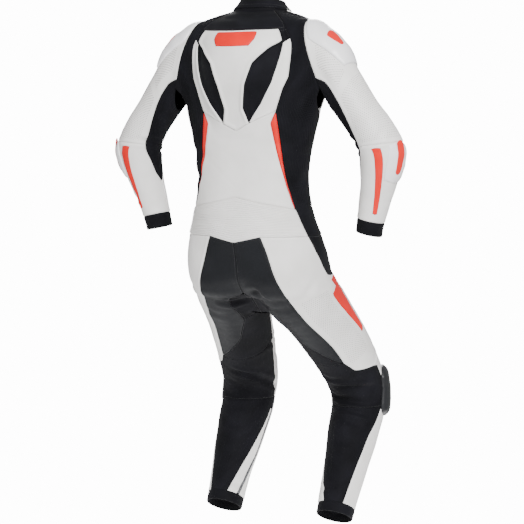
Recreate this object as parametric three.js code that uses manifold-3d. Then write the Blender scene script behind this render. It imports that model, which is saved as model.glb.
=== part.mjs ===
// A one-piece motorcycle race suit, hollow and filled out as it is when worn, in the pose that its
// pre-curved sleeves and legs give it. Each mesh is one piece that a maker cuts and sews in: a wall of
// leather, stretch fabric or moulded plastic. Millimetres, +Z up, the front faces -Y, the wearer's left
// is +X. The origin is the centre of the collar's base, where the wearer's neck comes out.
import * as THREE from "three";
import Module from "manifold-3d";
import { mergeVertices } from "three/addons/utils/BufferGeometryUtils.js";

// Driving sizes
const wall = 2.4; // leather with its bonded lining
const seamGap = 0.6; // between two pieces that are sewn to each other
const collarHeight = 34;
const ribHeight = 1.6; // how far the ribs of the stretch and lumbar panels stand out

// Torso sections, level slices of the body below the neck
const torsoSections = [
  { z: 30, centreY: -4, halfWidth: 60, front: 58, back: 60 },
  { z: 0, centreY: 0, halfWidth: 68, front: 62, back: 66 },
  { z: -14, centreY: 8, halfWidth: 112, front: 68, back: 78 },
  { z: -40, centreY: 20, halfWidth: 165, front: 82, back: 96 },
  { z: -80, centreY: 32, halfWidth: 182, front: 98, back: 106 },
  { z: -130, centreY: 42, halfWidth: 186, front: 112, back: 106 },
  { z: -190, centreY: 49, halfWidth: 184, front: 120, back: 102 },
  { z: -250, centreY: 53, halfWidth: 178, front: 120, back: 97 },
  { z: -300, centreY: 55, halfWidth: 166, front: 114, back: 93 },
  { z: -350, centreY: 56, halfWidth: 155, front: 108, back: 91 },
  { z: -400, centreY: 56, halfWidth: 148, front: 104, back: 92 },
  { z: -440, centreY: 54, halfWidth: 146, front: 102, back: 97 },
  { z: -480, centreY: 51, halfWidth: 150, front: 103, back: 106 },
  { z: -530, centreY: 46, halfWidth: 161, front: 107, back: 120 },
  { z: -580, centreY: 32, halfWidth: 171, front: 112, back: 138 },
  { z: -630, centreY: 12, halfWidth: 172, front: 108, back: 144 },
  { z: -680, centreY: 6, halfWidth: 150, front: 90, back: 134 },
  { z: -712, centreY: 0, halfWidth: 104, front: 56, back: 96 },
  { z: -734, centreY: 0, halfWidth: 40, front: 20, back: 44 },
];

// Left leg stations from the seat to below the cuff: centre, and the section's three half sizes
const legStations = [
  { x: 80, y: 44, z: -650, side: 94, front: 98, back: 106 },
  { x: 95, y: -14, z: -712, side: 93, front: 98, back: 100 },
  { x: 111, y: -74, z: -768, side: 88, front: 97, back: 88 },
  { x: 126, y: -134, z: -828, side: 84, front: 96, back: 80 },
  { x: 146, y: -208, z: -910, side: 80, front: 92, back: 75 },
  { x: 160, y: -261, z: -988, side: 75, front: 88, back: 71 },
  { x: 165, y: -264, z: -1055, side: 72, front: 82, back: 68 },
  { x: 165, y: -231, z: -1118, side: 69, front: 68, back: 71 },
  { x: 165, y: -191, z: -1185, side: 61, front: 59, back: 64 },
  { x: 164, y: -150, z: -1250, side: 54, front: 52, back: 54 },
  { x: 163, y: -104, z: -1326, side: 49, front: 48, back: 48 },
  { x: 162, y: -62, z: -1395, side: 48, front: 47, back: 47 },
];

// Left arm stations from inside the shoulder to below the cuff
const armStations = [
  { x: 110, y: 40, z: -108, side: 58, front: 62, back: 62 },
  { x: 180, y: 42, z: -122, side: 66, front: 68, back: 66 },
  { x: 236, y: 42, z: -188, side: 56, front: 64, back: 62 },
  { x: 288, y: 41, z: -260, side: 51, front: 57, back: 56 },
  { x: 326, y: 38, z: -312, side: 54, front: 57, back: 57 },
  { x: 343, y: 30, z: -358, side: 57, front: 56, back: 60 },
  { x: 331, y: 20, z: -430, side: 46, front: 50, back: 50 },
  { x: 316, y: 12, z: -490, side: 39, front: 43, back: 43 },
  { x: 303, y: 5, z: -545, side: 34, front: 38, back: 38 },
  { x: 294, y: 0, z: -600, side: 33, front: 37, back: 37 },
];

// Race hump on the upper back: how far it stands out and how wide it is, by height
const humpSections = [
  { z: -20, height: 0, halfWidth: 110 },
  { z: -44, height: 10, halfWidth: 126 },
  { z: -70, height: 30, halfWidth: 138 },
  { z: -120, height: 42, halfWidth: 142 },
  { z: -180, height: 40, halfWidth: 136 },
  { z: -230, height: 26, halfWidth: 116 },
  { z: -280, height: 10, halfWidth: 84 },
  { z: -325, height: 0, halfWidth: 60 },
];

// A smooth curve through a table's rows: column values at any place between its ends
function columns(rows, by) {
  const keys = Object.keys(rows[0]).filter((key) => key !== by);
  const at = rows.map((row) => row[by]);
  const falling = at[0] > at[at.length - 1];
  const slopes = {};
  for (const key of keys) {
    slopes[key] = rows.map((row, i) => {
      const before = rows[Math.max(i - 1, 0)];
      const after = rows[Math.min(i + 1, rows.length - 1)];
      return (after[key] - before[key]) / (after[by] - before[by]);
    });
  }
  return (place) => {
    let i = 0;
    while (i < at.length - 2 && (falling ? place < at[i + 1] : place > at[i + 1])) i++;
    const step = at[i + 1] - at[i];
    const t = Math.min(Math.max((place - at[i]) / step, 0), 1);
    const out = {};
    for (const key of keys) {
      const a = rows[i][key];
      const b = rows[i + 1][key];
      const h = t * t * (3 - 2 * t);
      const bend = t * (1 - t) * ((1 - t) * slopes[key][i] - t * slopes[key][i + 1]) * step;
      out[key] = a + (b - a) * h + bend;
    }
    return out;
  };
}

const torsoAt = columns(torsoSections, "z");
const humpAt = columns(humpSections, "z");

// Distance to a section's edge, in a plane with the two directions across and along depth
function edgeDistance(across, depth, half, deep, power) {
  const r = Math.hypot(across, depth);
  if (r < 1e-6) return -Math.min(half, deep);
  const reach = ((Math.abs(across) / half) ** power + (Math.abs(depth) / deep) ** power) ** (1 / power);
  return r - r / reach;
}

// How far the hump lifts the back at a place
function humpLift(x, z) {
  const row = humpAt(z);
  const t = Math.min(Math.abs(x) / row.halfWidth, 1);
  return z < humpSections.at(-1).z ? 0 : row.height * (1 - t ** 3) ** 1.5;
}

const torsoPower = 2.25; // a little squarer than an ellipse
const humpBase = 60; // depth behind the section's centre over which the hump grows
const slopeStep = 5;
function torsoDistance(x, y, z) {
  const row = torsoAt(z);
  const depth = y - row.centreY;
  const lift = depth > 0 ? humpLift(x, z) * Math.min(depth / humpBase, 1) : 0;
  const deep = (depth < 0 ? row.front : row.back) + lift;
  const below = Math.min(z - torsoSections.at(-1).z, 0);
  const d = edgeDistance(x, depth, row.halfWidth, deep, torsoPower);
  const slope = (torsoAt(z - slopeStep).halfWidth - row.halfWidth) / slopeStep;
  return d / Math.hypot(1, slope) - below;
}

// A limb's centre line, sampled from its stations, with the frame of each sample
function limbLine(stations) {
  const keyed = stations.map((s, i) => ({ ...s, i }));
  const at = columns(keyed, "i");
  const count = (stations.length - 1) * 3;
  const line = [];
  for (let k = 0; k <= count; k++) line.push(at((k / count) * (stations.length - 1)));
  return line;
}

function limbDistance(line, x, y, z) {
  let best = Infinity;
  let seg = 0;
  let along = 0;
  for (let i = 0; i + 1 < line.length; i++) {
    const a = line[i];
    const b = line[i + 1];
    const dx = b.x - a.x;
    const dy = b.y - a.y;
    const dz = b.z - a.z;
    const t = ((x - a.x) * dx + (y - a.y) * dy + (z - a.z) * dz) / (dx * dx + dy * dy + dz * dz);
    const c = Math.min(Math.max(t, 0), 1);
    const d = (x - a.x - c * dx) ** 2 + (y - a.y - c * dy) ** 2 + (z - a.z - c * dz) ** 2;
    if (d < best) {
      best = d;
      seg = i;
      along = c;
    }
  }
  const a = line[seg];
  const b = line[seg + 1];
  const mix = (key) => a[key] + (b[key] - a[key]) * along;
  const axis = new THREE.Vector3(b.x - a.x, b.y - a.y, b.z - a.z).normalize();
  const side = new THREE.Vector3(1, 0, 0).addScaledVector(axis, -axis.x).normalize();
  const back = new THREE.Vector3().crossVectors(side, axis);
  if (back.y < 0) back.negate();
  const q = new THREE.Vector3(x - mix("x"), y - mix("y"), z - mix("z"));
  const across = q.dot(side);
  const depth = q.dot(back);
  const past = q.dot(axis);
  const deep = depth < 0 ? mix("front") : mix("back");
  const r = q.length();
  if (r < 1e-6) return -deep;
  return r - r / Math.hypot(across / mix("side"), depth / deep, past / mix("side"));
}

const legLine = limbLine(legStations);
const armLine = limbLine(armStations);

// The smaller of two distances, with a rounded valley where they are alike
function blend(a, b, radius) {
  const h = Math.max(radius - Math.abs(a - b), 0) / radius;
  return Math.min(a, b) - (h * h * radius) / 4;
}

// Width of the rounded valley between two parts of the body, and where limbs begin to count
const armpitBlend = 46;
const crotchBlend = 24;
const seatBlend = 54;
const legsFromZ = -480;
const armsToZ = -720;
// The suit's outer surface is where this is 0
function bodyDistance(x, y, z) {
  const mx = Math.abs(x);
  let d = torsoDistance(mx, y, z);
  if (z < legsFromZ) {
    const legs = blend(limbDistance(legLine, mx, y, z), limbDistance(legLine, -mx, y, z), crotchBlend);
    d = blend(d, legs, seatBlend);
  }
  if (z > armsToZ) d = blend(d, limbDistance(armLine, mx, y, z), armpitBlend);
  return d;
}

// Where a ray from inside the suit meets its outer surface, or the middle plane for a leg
const farthest = 400;
const shortestStep = 3;
const stepShare = 0.6; // of the distance to the surface
const halvings = 14;
function castOut(from, dir, stopAtMiddle) {
  let near = 0;
  let far = 0;
  const reach = stopAtMiddle && dir.x < 0 ? -from.x / dir.x : farthest;
  const at = (t) => bodyDistance(from.x + dir.x * t, from.y + dir.y * t, from.z + dir.z * t);
  for (let d = at(0); d < 0 && far < reach; d = at(far)) {
    near = far;
    far += Math.max(shortestStep, -d * stepShare);
  }
  if (far > reach) {
    if (at(reach) < 0) return new THREE.Vector3().copy(from).addScaledVector(dir, reach);
    far = reach;
  }
  for (let i = 0; i < halvings; i++) {
    const mid = (near + far) / 2;
    if (at(mid) < 0) near = mid;
    else far = mid;
  }
  return new THREE.Vector3().copy(from).addScaledVector(dir, (near + far) / 2);
}

const probe = 1.5;
function surfaceNormal(p) {
  const dx = bodyDistance(p.x + probe, p.y, p.z) - bodyDistance(p.x - probe, p.y, p.z);
  const dy = bodyDistance(p.x, p.y + probe, p.z) - bodyDistance(p.x, p.y - probe, p.z);
  const dz = bodyDistance(p.x, p.y, p.z + probe) - bodyDistance(p.x, p.y, p.z - probe);
  return new THREE.Vector3(dx, dy, dz).normalize();
}

// Rows: each domain is a family of rows round the body part. A row starts at the back (0 degrees), runs
// over the outer side (90) to the front (180), and on a leg or arm over the inner side (270).
// level counts millimetres down from the domain's top; rise tips a torso row's rays up.
const torsoRows = [
  { level: 0, y: 2, z: -40, rise: 31, tilt: 5 },
  { level: 50, y: 14, z: -70, rise: 36, tilt: 6 },
  { level: 110, y: 26, z: -108, rise: 24, tilt: 4 },
  { level: 170, y: 38, z: -146, rise: 11, tilt: 2 },
  { level: 240, y: 46, z: -190, rise: 0, tilt: 0 },
  { level: 622, y: 40, z: -572, rise: 0, tilt: 0 },
  { level: 662, y: 40, z: -612, rise: 0, tilt: 0 },
];
// A sleeve row runs between a place on the sleeve's outer profile and one on its inner profile
const sleeveRows = [
  { level: 0, outX: 150, outZ: -29, inX: 217, inZ: -248, y: 42 },
  { level: 60, outX: 203, outZ: -60, inX: 224, inZ: -258, y: 42 },
  { level: 120, outX: 253, outZ: -108, inX: 231, inZ: -269, y: 42 },
  { level: 180, outX: 290, outZ: -160, inX: 240, inZ: -282, y: 41 },
  { level: 240, outX: 322, outZ: -212, inX: 252, inZ: -298, y: 40 },
  { level: 300, outX: 354, outZ: -270, inX: 266, inZ: -317, y: 38 },
  { level: 355, outX: 388, outZ: -322, inX: 279, inZ: -341, y: 34 },
  { level: 390, outX: 400, outZ: -356, inX: 286, inZ: -360, y: 31 },
  { level: 430, outX: 394, outZ: -395, inX: 287, inZ: -385, y: 26 },
  { level: 500, outX: 370, outZ: -462, inX: 283, inZ: -444, y: 17 },
  { level: 580, outX: 340, outZ: -541, inX: 271, inZ: -525, y: 6 },
  { level: 632, outX: 327, outZ: -592, inX: 263, inZ: -577, y: 0 },
];
// pitch: how far a leg row's normal swings forward from straight down
const legRows = [
  { level: -20, x: 80, y: 40, z: -552, pitch: 0 },
  { level: 0, x: 80, y: 40, z: -572, pitch: 0 },
  { level: 20, x: 80, y: 40, z: -592, pitch: 0 },
  { level: 40, x: 80, y: 40, z: -612, pitch: 0 },
  { level: 90, x: 84, y: 24, z: -660, pitch: 12 },
  { level: 150, x: 90, y: 0, z: -706, pitch: 27 },
  { level: 220, x: 100, y: -38, z: -750, pitch: 38 },
  { level: 290, x: 113, y: -84, z: -790, pitch: 44 },
  { level: 370, x: 126, y: -137, z: -834, pitch: 46 },
  { level: 480, x: 142, y: -202, z: -912, pitch: 40 },
  { level: 560, x: 155, y: -248, z: -975, pitch: 25 },
  { level: 620, x: 162, y: -264, z: -1030, pitch: 6 },
  { level: 670, x: 165, y: -256, z: -1076, pitch: -10 },
  { level: 735, x: 166, y: -224, z: -1132, pitch: -24 },
  { level: 815, x: 165, y: -185, z: -1200, pitch: -30 },
  { level: 960, x: 163, y: -110, z: -1318, pitch: -32 },
  { level: 990, x: 162, y: -94, z: -1343, pitch: -32 },
];
const armholeNormal = new THREE.Vector3(0.956, 0, 0.293);
const armholeReach = 135;
const armholeGap = 0.5; // each side of the armhole plane
const radians = Math.PI / 180;
const torsoRowAt = columns(torsoRows, "level");
const sleeveRowAt = columns(sleeveRows, "level");
const legRowAt = columns(legRows, "level");

const domains = {
  torso: {
    centre: (level) => new THREE.Vector3(0, torsoRowAt(level).y, torsoRowAt(level).z),
    direction: (level, turn) => {
      const row = torsoRowAt(level);
      const up = (row.rise + row.tilt * Math.cos(turn)) * radians;
      return new THREE.Vector3(Math.sin(turn) * Math.cos(up), Math.cos(turn) * Math.cos(up), Math.sin(up));
    },
  },
  sleeve: {
    centre: (level) => {
      const row = sleeveRowAt(level);
      return new THREE.Vector3((row.outX + row.inX) / 2, row.y, (row.outZ + row.inZ) / 2);
    },
    direction: (level, turn) => {
      const row = sleeveRowAt(level);
      const out = new THREE.Vector3(row.outX - row.inX, 0, row.outZ - row.inZ).normalize();
      return out.multiplyScalar(Math.sin(turn)).add(new THREE.Vector3(0, Math.cos(turn), 0));
    },
  },
  leg: {
    centre: (level) => new THREE.Vector3().copy(legRowAt(level)),
    direction: (level, turn) => {
      const pitch = legRowAt(level).pitch * radians;
      return new THREE.Vector3(
        Math.sin(turn),
        Math.cos(turn) * Math.cos(pitch),
        -Math.cos(turn) * Math.sin(pitch),
      );
    },
  },
};

// The turn, between an outside one and an inside one, at which a row meets a plane on the surface
function turnAtPlane(domain, level, normal, reach, outside, inside) {
  const from = domain.centre(level);
  for (let i = 0; i < 22; i++) {
    const turn = (outside + inside) / 2;
    const dir = domain.direction(level, turn);
    const t = (reach - from.dot(normal)) / dir.dot(normal);
    const p = new THREE.Vector3().copy(from).addScaledVector(dir, t);
    if (t > 0 && t < 500 && bodyDistance(p.x, p.y, p.z) < 0) inside = turn;
    else outside = turn;
  }
  return (outside + inside) / 2;
}

function placeOn(domain, level, turn) {
  return castOut(domain.centre(level), domain.direction(level, turn * radians), domain === domains.leg);
}

// Seams: each is a table of levels and turns in degrees, straight between its rows
function seam(rows) {
  return (level) => {
    let i = 0;
    while (i < rows.length - 2 && level > rows[i + 1].level) i++;
    const a = rows[i];
    const b = rows[i + 1];
    const t = Math.min(Math.max((level - a.level) / (b.level - a.level), 0), 1);
    return a.turn + (b.turn - a.turn) * t;
  };
}
const mirrored = (line) => (level) => -line(level);

// The level, between two, at which a test turns true
function levelWhere(test, before, after) {
  for (let i = 0; i < 24; i++) {
    const mid = (before + after) / 2;
    if (test(mid)) after = mid;
    else before = mid;
  }
  return (before + after) / 2;
}

// Armhole: where the plane between torso and sleeve opens and closes, and its edges on the body
const torsoReach = armholeReach - armholeGap;
function sideInside(level) {
  const from = domains.torso.centre(level);
  const dir = domains.torso.direction(level, 90 * radians);
  const t = (torsoReach - from.dot(armholeNormal)) / dir.dot(armholeNormal);
  return bodyDistance(from.x + dir.x * t, from.y + dir.y * t, from.z + dir.z * t) < 0;
}
const armholeTop = levelWhere(sideInside, 60, 160);
const armholeBottom = levelWhere((level) => !sideInside(level), 200, 360);
const side = 90 * radians;
function armholeEdge(outside) {
  const edge = (level) => turnAtPlane(domains.torso, level, armholeNormal, torsoReach, outside, side);
  return (level) => edge(level) / radians;
}
const armholeBack = armholeEdge(2 * radians);
const armholeFront = armholeEdge(178 * radians);

// Crotch: above it a leg's rows start and end on the garment's middle plane, below it they go all round
const crotchTurn = -114; // from the leg's centre towards the other leg and a little forward
const middle = new THREE.Vector3(-1, 0, 0);
function crotchInside(level) {
  const from = domains.leg.centre(level);
  const dir = domains.leg.direction(level, crotchTurn * radians);
  const t = -from.x / dir.x;
  return bodyDistance(0, from.y + dir.y * t, from.z + dir.z * t) < 0;
}
const crotchLevel = levelWhere((level) => !crotchInside(level), 150, 300);
function middleEdge(outside, inside) {
  return (level) => turnAtPlane(domains.leg, level, middle, 0, outside * radians, inside * radians) / radians;
}
const backMiddle = middleEdge(0, crotchTurn);
const frontMiddle = middleEdge(181, 360 + crotchTurn);

const sideSeam = seam([
  { level: armholeBottom, turn: 90 },
  { level: 330, turn: 103 },
  { level: 400, turn: 114 },
  { level: 622, turn: 112 },
]);
const between = (level) => level > armholeTop && level < armholeBottom;
const stretchFront = (level) => {
  if (level <= armholeTop) return 90;
  return between(level) ? armholeBack(level) : sideSeam(level);
};
const chestBack = (level) => {
  if (level <= armholeTop) return 90;
  return between(level) ? armholeFront(level) : sideSeam(level);
};

const humpTopLevel = 120;
const humpTipLevel = 356;
const humpSlant = 50 / 48; // levels up the hump's lower edge for each degree of turn
const humpFoot = (turn) => humpTipLevel - Math.abs(turn) * humpSlant;
const stretchBack = seam([
  { level: 0, turn: 57 },
  { level: 120, turn: 55 },
  { level: 150, turn: 58 },
  { level: 222, turn: 58 },
  { level: 252, turn: 53 },
  { level: 306, turn: 48 },
  { level: 342, turn: 50.5 },
  { level: 462, turn: 58 },
  { level: 552, turn: 67 },
  { level: 622, turn: 76 },
]);
const stripeBack = seam([
  { level: 306, turn: 48 },
  { level: 336, turn: 43 },
  { level: 420, turn: 51 },
  { level: 552, turn: 66 },
]);
const notch = { outerLevel: 142, innerLevel: 150, innerTurn: 51 }; // top of the hump's white side strip
const notchWidth = stretchBack(notch.outerLevel) - notch.innerTurn;
const notchRise = notch.innerLevel - notch.outerLevel;
const sideTop = (turn) => notch.innerLevel - ((turn - notch.innerTurn) * notchRise) / notchWidth;
const humpOuter = seam([
  { level: 120, turn: 55 },
  { level: 150, turn: 58 },
  { level: 222, turn: 58 },
  { level: 252, turn: 53 },
  { level: 306, turn: 48 },
  { level: 337.25, turn: 18 },
]);
const recessOuter = seam([
  { level: 120, turn: stretchBack(120) },
  { level: notch.outerLevel, turn: stretchBack(notch.outerLevel) },
  { level: notch.innerLevel, turn: notch.innerTurn },
  { level: 180, turn: 48 },
  { level: 234, turn: 42 },
  { level: 288, turn: 32 },
  { level: 337.25, turn: 18 },
]);
const recessInner = seam([
  { level: 120, turn: 48 },
  { level: 146, turn: 50 },
  { level: 160, turn: 37 },
  { level: 180, turn: 27 },
  { level: 192, turn: 22 },
  { level: 240, turn: 15 },
  { level: 300, turn: 11.5 },
  { level: 337.25, turn: 18 },
]);
const lumbarTop = (turn) => 522 + (Math.abs(turn) * 30) / 67;
const seatDip = 16; // how far the seat's top edge dips at the middle
const hipLevel = 620;
const seatTopTurn = 30;
const seatTopHalf = placeOn(domains.torso, hipLevel, seatTopTurn).x; // half of the seat's top edge
const lumbarFoot = (turn, point) => hipLevel + seatDip * Math.max(1 - Math.abs(point.x) / seatTopHalf, 0);
const torsoToLeg = 622;
const seatTop = (turn, point) => lumbarFoot(turn, point) - torsoToLeg;

// Leg seams
function legTurn(torsoTurn) {
  const point = placeOn(domains.torso, hipLevel, torsoTurn);
  const centre = domains.leg.centre(hipLevel - torsoToLeg);
  const turn = Math.atan2(point.x - centre.x, point.y - centre.y) / radians;
  return torsoTurn > 90 && turn < 0 ? turn + 360 : turn;
}
const seatOuter = seam([
  { level: -2, turn: legTurn(seatTopTurn) },
  { level: 48, turn: 4 },
  { level: 115, turn: 16 },
  { level: 186, turn: 24 },
  { level: 312, turn: 31 },
  { level: 432, turn: 35 },
  { level: 474, turn: 47 },
  { level: 504, turn: 86 },
]);
const seatInner = seam([
  { level: 122, turn: -38 },
  { level: 134, turn: -22 },
  { level: 160, turn: -22 },
  { level: 190, turn: -32 },
  { level: 234, turn: -40 },
  { level: 324, turn: -22 },
  { level: 390, turn: 8 },
  { level: 432, turn: 33 },
]);
const seatInnerOrMiddle = (level) => (level < 122 ? backMiddle(level) : seatInner(level));
const innerFront = seam([
  { level: 0, turn: -135 },
  { level: 640, turn: -104 },
]);
const hipFront = seam([
  { level: -2, turn: legTurn(stretchBack(hipLevel)) },
  { level: 45, turn: 80 },
  { level: 110, turn: 98 },
  { level: 134, turn: 117 },
  { level: 160, turn: 145 },
  { level: 186, turn: 178 },
  { level: crotchLevel, turn: 360 + innerFront(crotchLevel) },
  { level: 640, turn: 360 + innerFront(640) },
]);
const calfOuter = seam([
  { level: 504, turn: 86 },
  { level: 640, turn: 78 },
  { level: 735, turn: 61 },
  { level: 834, turn: 49 },
  { level: 942, turn: 39 },
]);
const calfInner = seam([
  { level: 640, turn: -102 },
  { level: 735, turn: -82 },
  { level: 822, turn: -60 },
  { level: 942, turn: -26 },
]);
const zipBack = seam([
  { level: 640, turn: -104 },
  { level: 822, turn: -88 },
  { level: 942, turn: -58 },
]);
const zipFront = (level) => zipBack(level) - 9;

// Sleeve seams
const sleeveInnerBack = seam([
  { level: 0, turn: -32 },
  { level: 72, turn: -22 },
  { level: 180, turn: -22 },
  { level: 264, turn: -28 },
  { level: 366, turn: -40 },
  { level: 470, turn: -68 },
  { level: 498, turn: -89.7 },
  { level: 632, turn: -89.7 },
]);
const sleeveInnerFront = seam([
  { level: 0, turn: -148 },
  { level: 180, turn: -150 },
  { level: 366, turn: -140 },
  { level: 470, turn: -112 },
  { level: 498, turn: -90.3 },
  { level: 632, turn: -90.3 },
]);
const constant = (value) => () => value;

// Panels
const colours = {
  white: { color: 0xe4e1de, roughness: 0.5, metalness: 0 },
  black: { color: 0x17171a, roughness: 0.55, metalness: 0 },
  stretch: { color: 0x101014, roughness: 0.85, metalness: 0 },
  red: { color: 0xe8241c, roughness: 0.45, metalness: 0 },
  plasticWhite: { color: 0xe9e8ea, roughness: 0.3, metalness: 0 },
  plasticBlack: { color: 0x121214, roughness: 0.35, metalness: 0 },
  steel: { color: 0x8f9194, roughness: 0.35, metalness: 0.9 },
};

const sharedLevels = {
  torso: [26, 52, 80, 146, 165, 192, 222, 252, 280, 306, 336, 366, 395, 425, 462, 490, 520, 552, 585],
  sleeve: [40, 80, 120, 150, 180, 215, 250, 280, 310, 338, 366, 400, 435, 470, 498, 540],
  leg: [
    22, 45, 70, 96, 122, 134, 160, 186, 210, 222, crotchLevel, 260, 290, 324, 358, 390, 432, 474, 489, 504,
    535, 565, 602, 640, 672, 704, 735, 770, 800, 834, 870, 906,
  ],
};
const armholeLevels = [
  armholeTop, armholeTop + 2, armholeTop + 8, armholeTop + 20,
  armholeBottom - 20, armholeBottom - 8, armholeBottom - 2, armholeBottom,
];

// The level at which a panel's column meets an edge that is drawn as a curve
function edgeLevel(panel, edge, start, a) {
  let level = start;
  for (let i = 0; i < 10; i++) {
    const turn = panel.from(level) + (panel.to(level) - panel.from(level)) * a;
    level = edge(turn, placeOn(domains[panel.domain], level, turn));
  }
  return level;
}

// A point of a panel in one column, a of the way over its width. At an edge it stays half the gap
// clear of the seam, measured square to it.
const steepest = 4; // the most that a slanting seam widens that step along the row
function panelPoint(panel, level, a, first, last) {
  const domain = domains[panel.domain];
  const turn = panel.from(level) + (panel.to(level) - panel.from(level)) * a;
  const point = placeOn(domain, level, turn);
  const turnStep = placeOn(domain, level, turn + 0.3).distanceTo(point) / 0.3;
  const levelStep = placeOn(domain, last ? level - 1 : level + 1, turn).distanceTo(point);
  const edge = a === 0 ? panel.from : panel.to;
  const slant = ((edge(level + 1) - edge(level - 1)) / 2) * turnStep / levelStep;
  const clear = (seamGap / 2) * Math.min(Math.hypot(1, slant), steepest);
  let across = 0;
  if (a === 0) across = clear / turnStep;
  if (a === 1) across = -clear / turnStep;
  let down = 0;
  if (first) down = (panel.topGap ?? seamGap / 2) / levelStep;
  if (last) down = -(panel.footGap ?? seamGap / 2) / levelStep;
  const inset = placeOn(domain, level + down, turn + across);
  return panel.fromMiddle && a === 0 && inset.x > seamGap ? ontoMiddle(inset) : inset;
}

// The place on the crotch's middle line above a place on the leg beside it
function ontoMiddle(point) {
  const onLine = point.clone().setX(seamGap / 2);
  let inside = point.z + 60;
  for (let i = 0; i < 20; i++) {
    const mid = (onLine.z + inside) / 2;
    if (bodyDistance(onLine.x, onLine.y, mid) < 0) inside = mid;
    else onLine.z = mid;
  }
  return onLine;
}

// Columns of a panel: its two edges and lines that meet a row at the given turns
function cutsAt(level, from, to, turns) {
  return [0, ...turns.map((turn) => (turn - from(level)) / (to(level) - from(level))), 1];
}

// The panel's net of points on the body, with the outward normal at each
const extraClear = 8; // no shared row comes nearer than this to a panel's own extra row
const endClear = 5; // or than this to its ends
function panelNet(panel) {
  const [start, end] = panel.levels;
  const extra = panel.extraLevels ?? [];
  const far = (level) => extra.every((other) => Math.abs(other - level) > extraClear);
  const shared = sharedLevels[panel.domain].filter(far).concat(extra).sort((p, q) => p - q);
  const within = shared.filter((level) => level > start + endClear && level < end - endClear);
  let levels = [start, ...within, end];
  if (panel.rows) {
    levels = Array.from({ length: panel.rows + 1 }, (_, i) => start + ((end - start) * i) / panel.rows);
  }
  const cuts = panel.cuts ?? Array.from({ length: panel.columns + 1 }, (_, i) => i / panel.columns);
  const fade = (b) => (panel.straightBelowTop ? Number(b === 0) : 1 - b);
  const upper = cuts.map((a) => (panel.top ? edgeLevel(panel, panel.top, start, a) - start : 0));
  const lower = cuts.map((a) => (panel.foot ? edgeLevel(panel, panel.foot, end, a) - end : 0));
  return levels.map((level, r) =>
    cuts.map((a, c) => {
      const b = (level - start) / (end - start);
      const shifted = level + upper[c] * fade(b) + lower[c] * b;
      const point = panelPoint(panel, shifted, a, r === 0, r === levels.length - 1);
      return { point, normal: surfaceNormal(point) };
    }),
  );
}

// A closed wall between two sheets of the same net
function wallGeometry(outer, inner) {
  const rows = outer.length;
  const cols = outer[0].length;
  const positions = [];
  for (const sheet of [outer, inner]) {
    for (const row of sheet) for (const p of row) positions.push(p.x, p.y, p.z);
  }
  const at = (sheet, r, c) => sheet * rows * cols + r * cols + c;
  const index = [];
  const quad = (a, b, c, d) => index.push(a, b, c, a, c, d);
  for (let r = 0; r + 1 < rows; r++) {
    for (let c = 0; c + 1 < cols; c++) {
      quad(at(0, r, c), at(0, r, c + 1), at(0, r + 1, c + 1), at(0, r + 1, c));
      quad(at(1, r, c), at(1, r + 1, c), at(1, r + 1, c + 1), at(1, r, c + 1));
    }
  }
  for (let c = 0; c + 1 < cols; c++) {
    quad(at(0, 0, c), at(1, 0, c), at(1, 0, c + 1), at(0, 0, c + 1));
    quad(at(0, rows - 1, c + 1), at(1, rows - 1, c + 1), at(1, rows - 1, c), at(0, rows - 1, c));
  }
  for (let r = 0; r + 1 < rows; r++) {
    quad(at(0, r + 1, 0), at(1, r + 1, 0), at(1, r, 0), at(0, r, 0));
    quad(at(0, r, cols - 1), at(1, r, cols - 1), at(1, r + 1, cols - 1), at(0, r + 1, cols - 1));
  }
  const geometry = new THREE.BufferGeometry();
  geometry.setAttribute("position", new THREE.Float32BufferAttribute(positions, 3));
  geometry.setIndex(index);
  return geometry;
}

function movedOut(net, distance) {
  return net.map((row, r) =>
    row.map(({ point, normal }, c) => point.clone().addScaledVector(normal, distance(r, c))),
  );
}

// The same piece for the other side of the body
function mirror(geometry) {
  const other = geometry.clone();
  const position = other.attributes.position;
  for (let i = 0; i < position.count; i++) position.setX(i, -position.getX(i));
  const index = other.index;
  for (let i = 0; i < index.count; i += 3) {
    const b = index.getX(i + 1);
    index.setX(i + 1, index.getX(i + 2));
    index.setX(i + 2, b);
  }
  return other;
}

const suit = new THREE.Group();
suit.name = "race_suit";
function addMesh(name, geometry, colour) {
  geometry.computeVertexNormals();
  const mesh = new THREE.Mesh(geometry, new THREE.MeshStandardMaterial(colours[colour]));
  mesh.name = name;
  suit.add(mesh);
}
function addPiece(name, geometry, colour, pair) {
  addMesh(pair ? `${name}_l` : name, geometry, colour);
  if (pair) addMesh(`${name}_r`, mirror(geometry), colour);
}

// Ribs stand on every other line of the net, along its length or across it
function ribRaise(panel, rows, cols) {
  return (r, c) => {
    if (!panel.ribs) return 0;
    const line = panel.ribs === "across" ? r : c;
    const count = panel.ribs === "across" ? rows : cols;
    return line % 2 === 1 && line < count - 1 ? ribHeight : 0;
  };
}

function addPanel(name, panel, pair) {
  const net = panelNet(panel);
  const raise = ribRaise(panel, net.length, net[0].length);
  addPiece(name, wallGeometry(movedOut(net, raise), movedOut(net, () => -wall)), panel.colour, pair);
  return net;
}

// A moulded piece that lies on part of a panel: its own points, moved out, domed in the middle
function addOverlay(name, net, part, colour, pair) {
  const rows = net.slice(part.rows[0], part.rows[1] + 1);
  const cut = rows.map((row) => row.slice(part.columns[0], part.columns[1] + 1));
  const lastRow = cut.length - 1;
  const lastColumn = cut[0].length - 1;
  const dome = (r, c) => {
    const edge = r === 0 || c === 0 || r === lastRow || c === lastColumn;
    return part.lift + (edge ? part.edge : part.thick);
  };
  addPiece(name, wallGeometry(movedOut(cut, dome), movedOut(cut, () => part.lift)), colour, pair);
}

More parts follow.
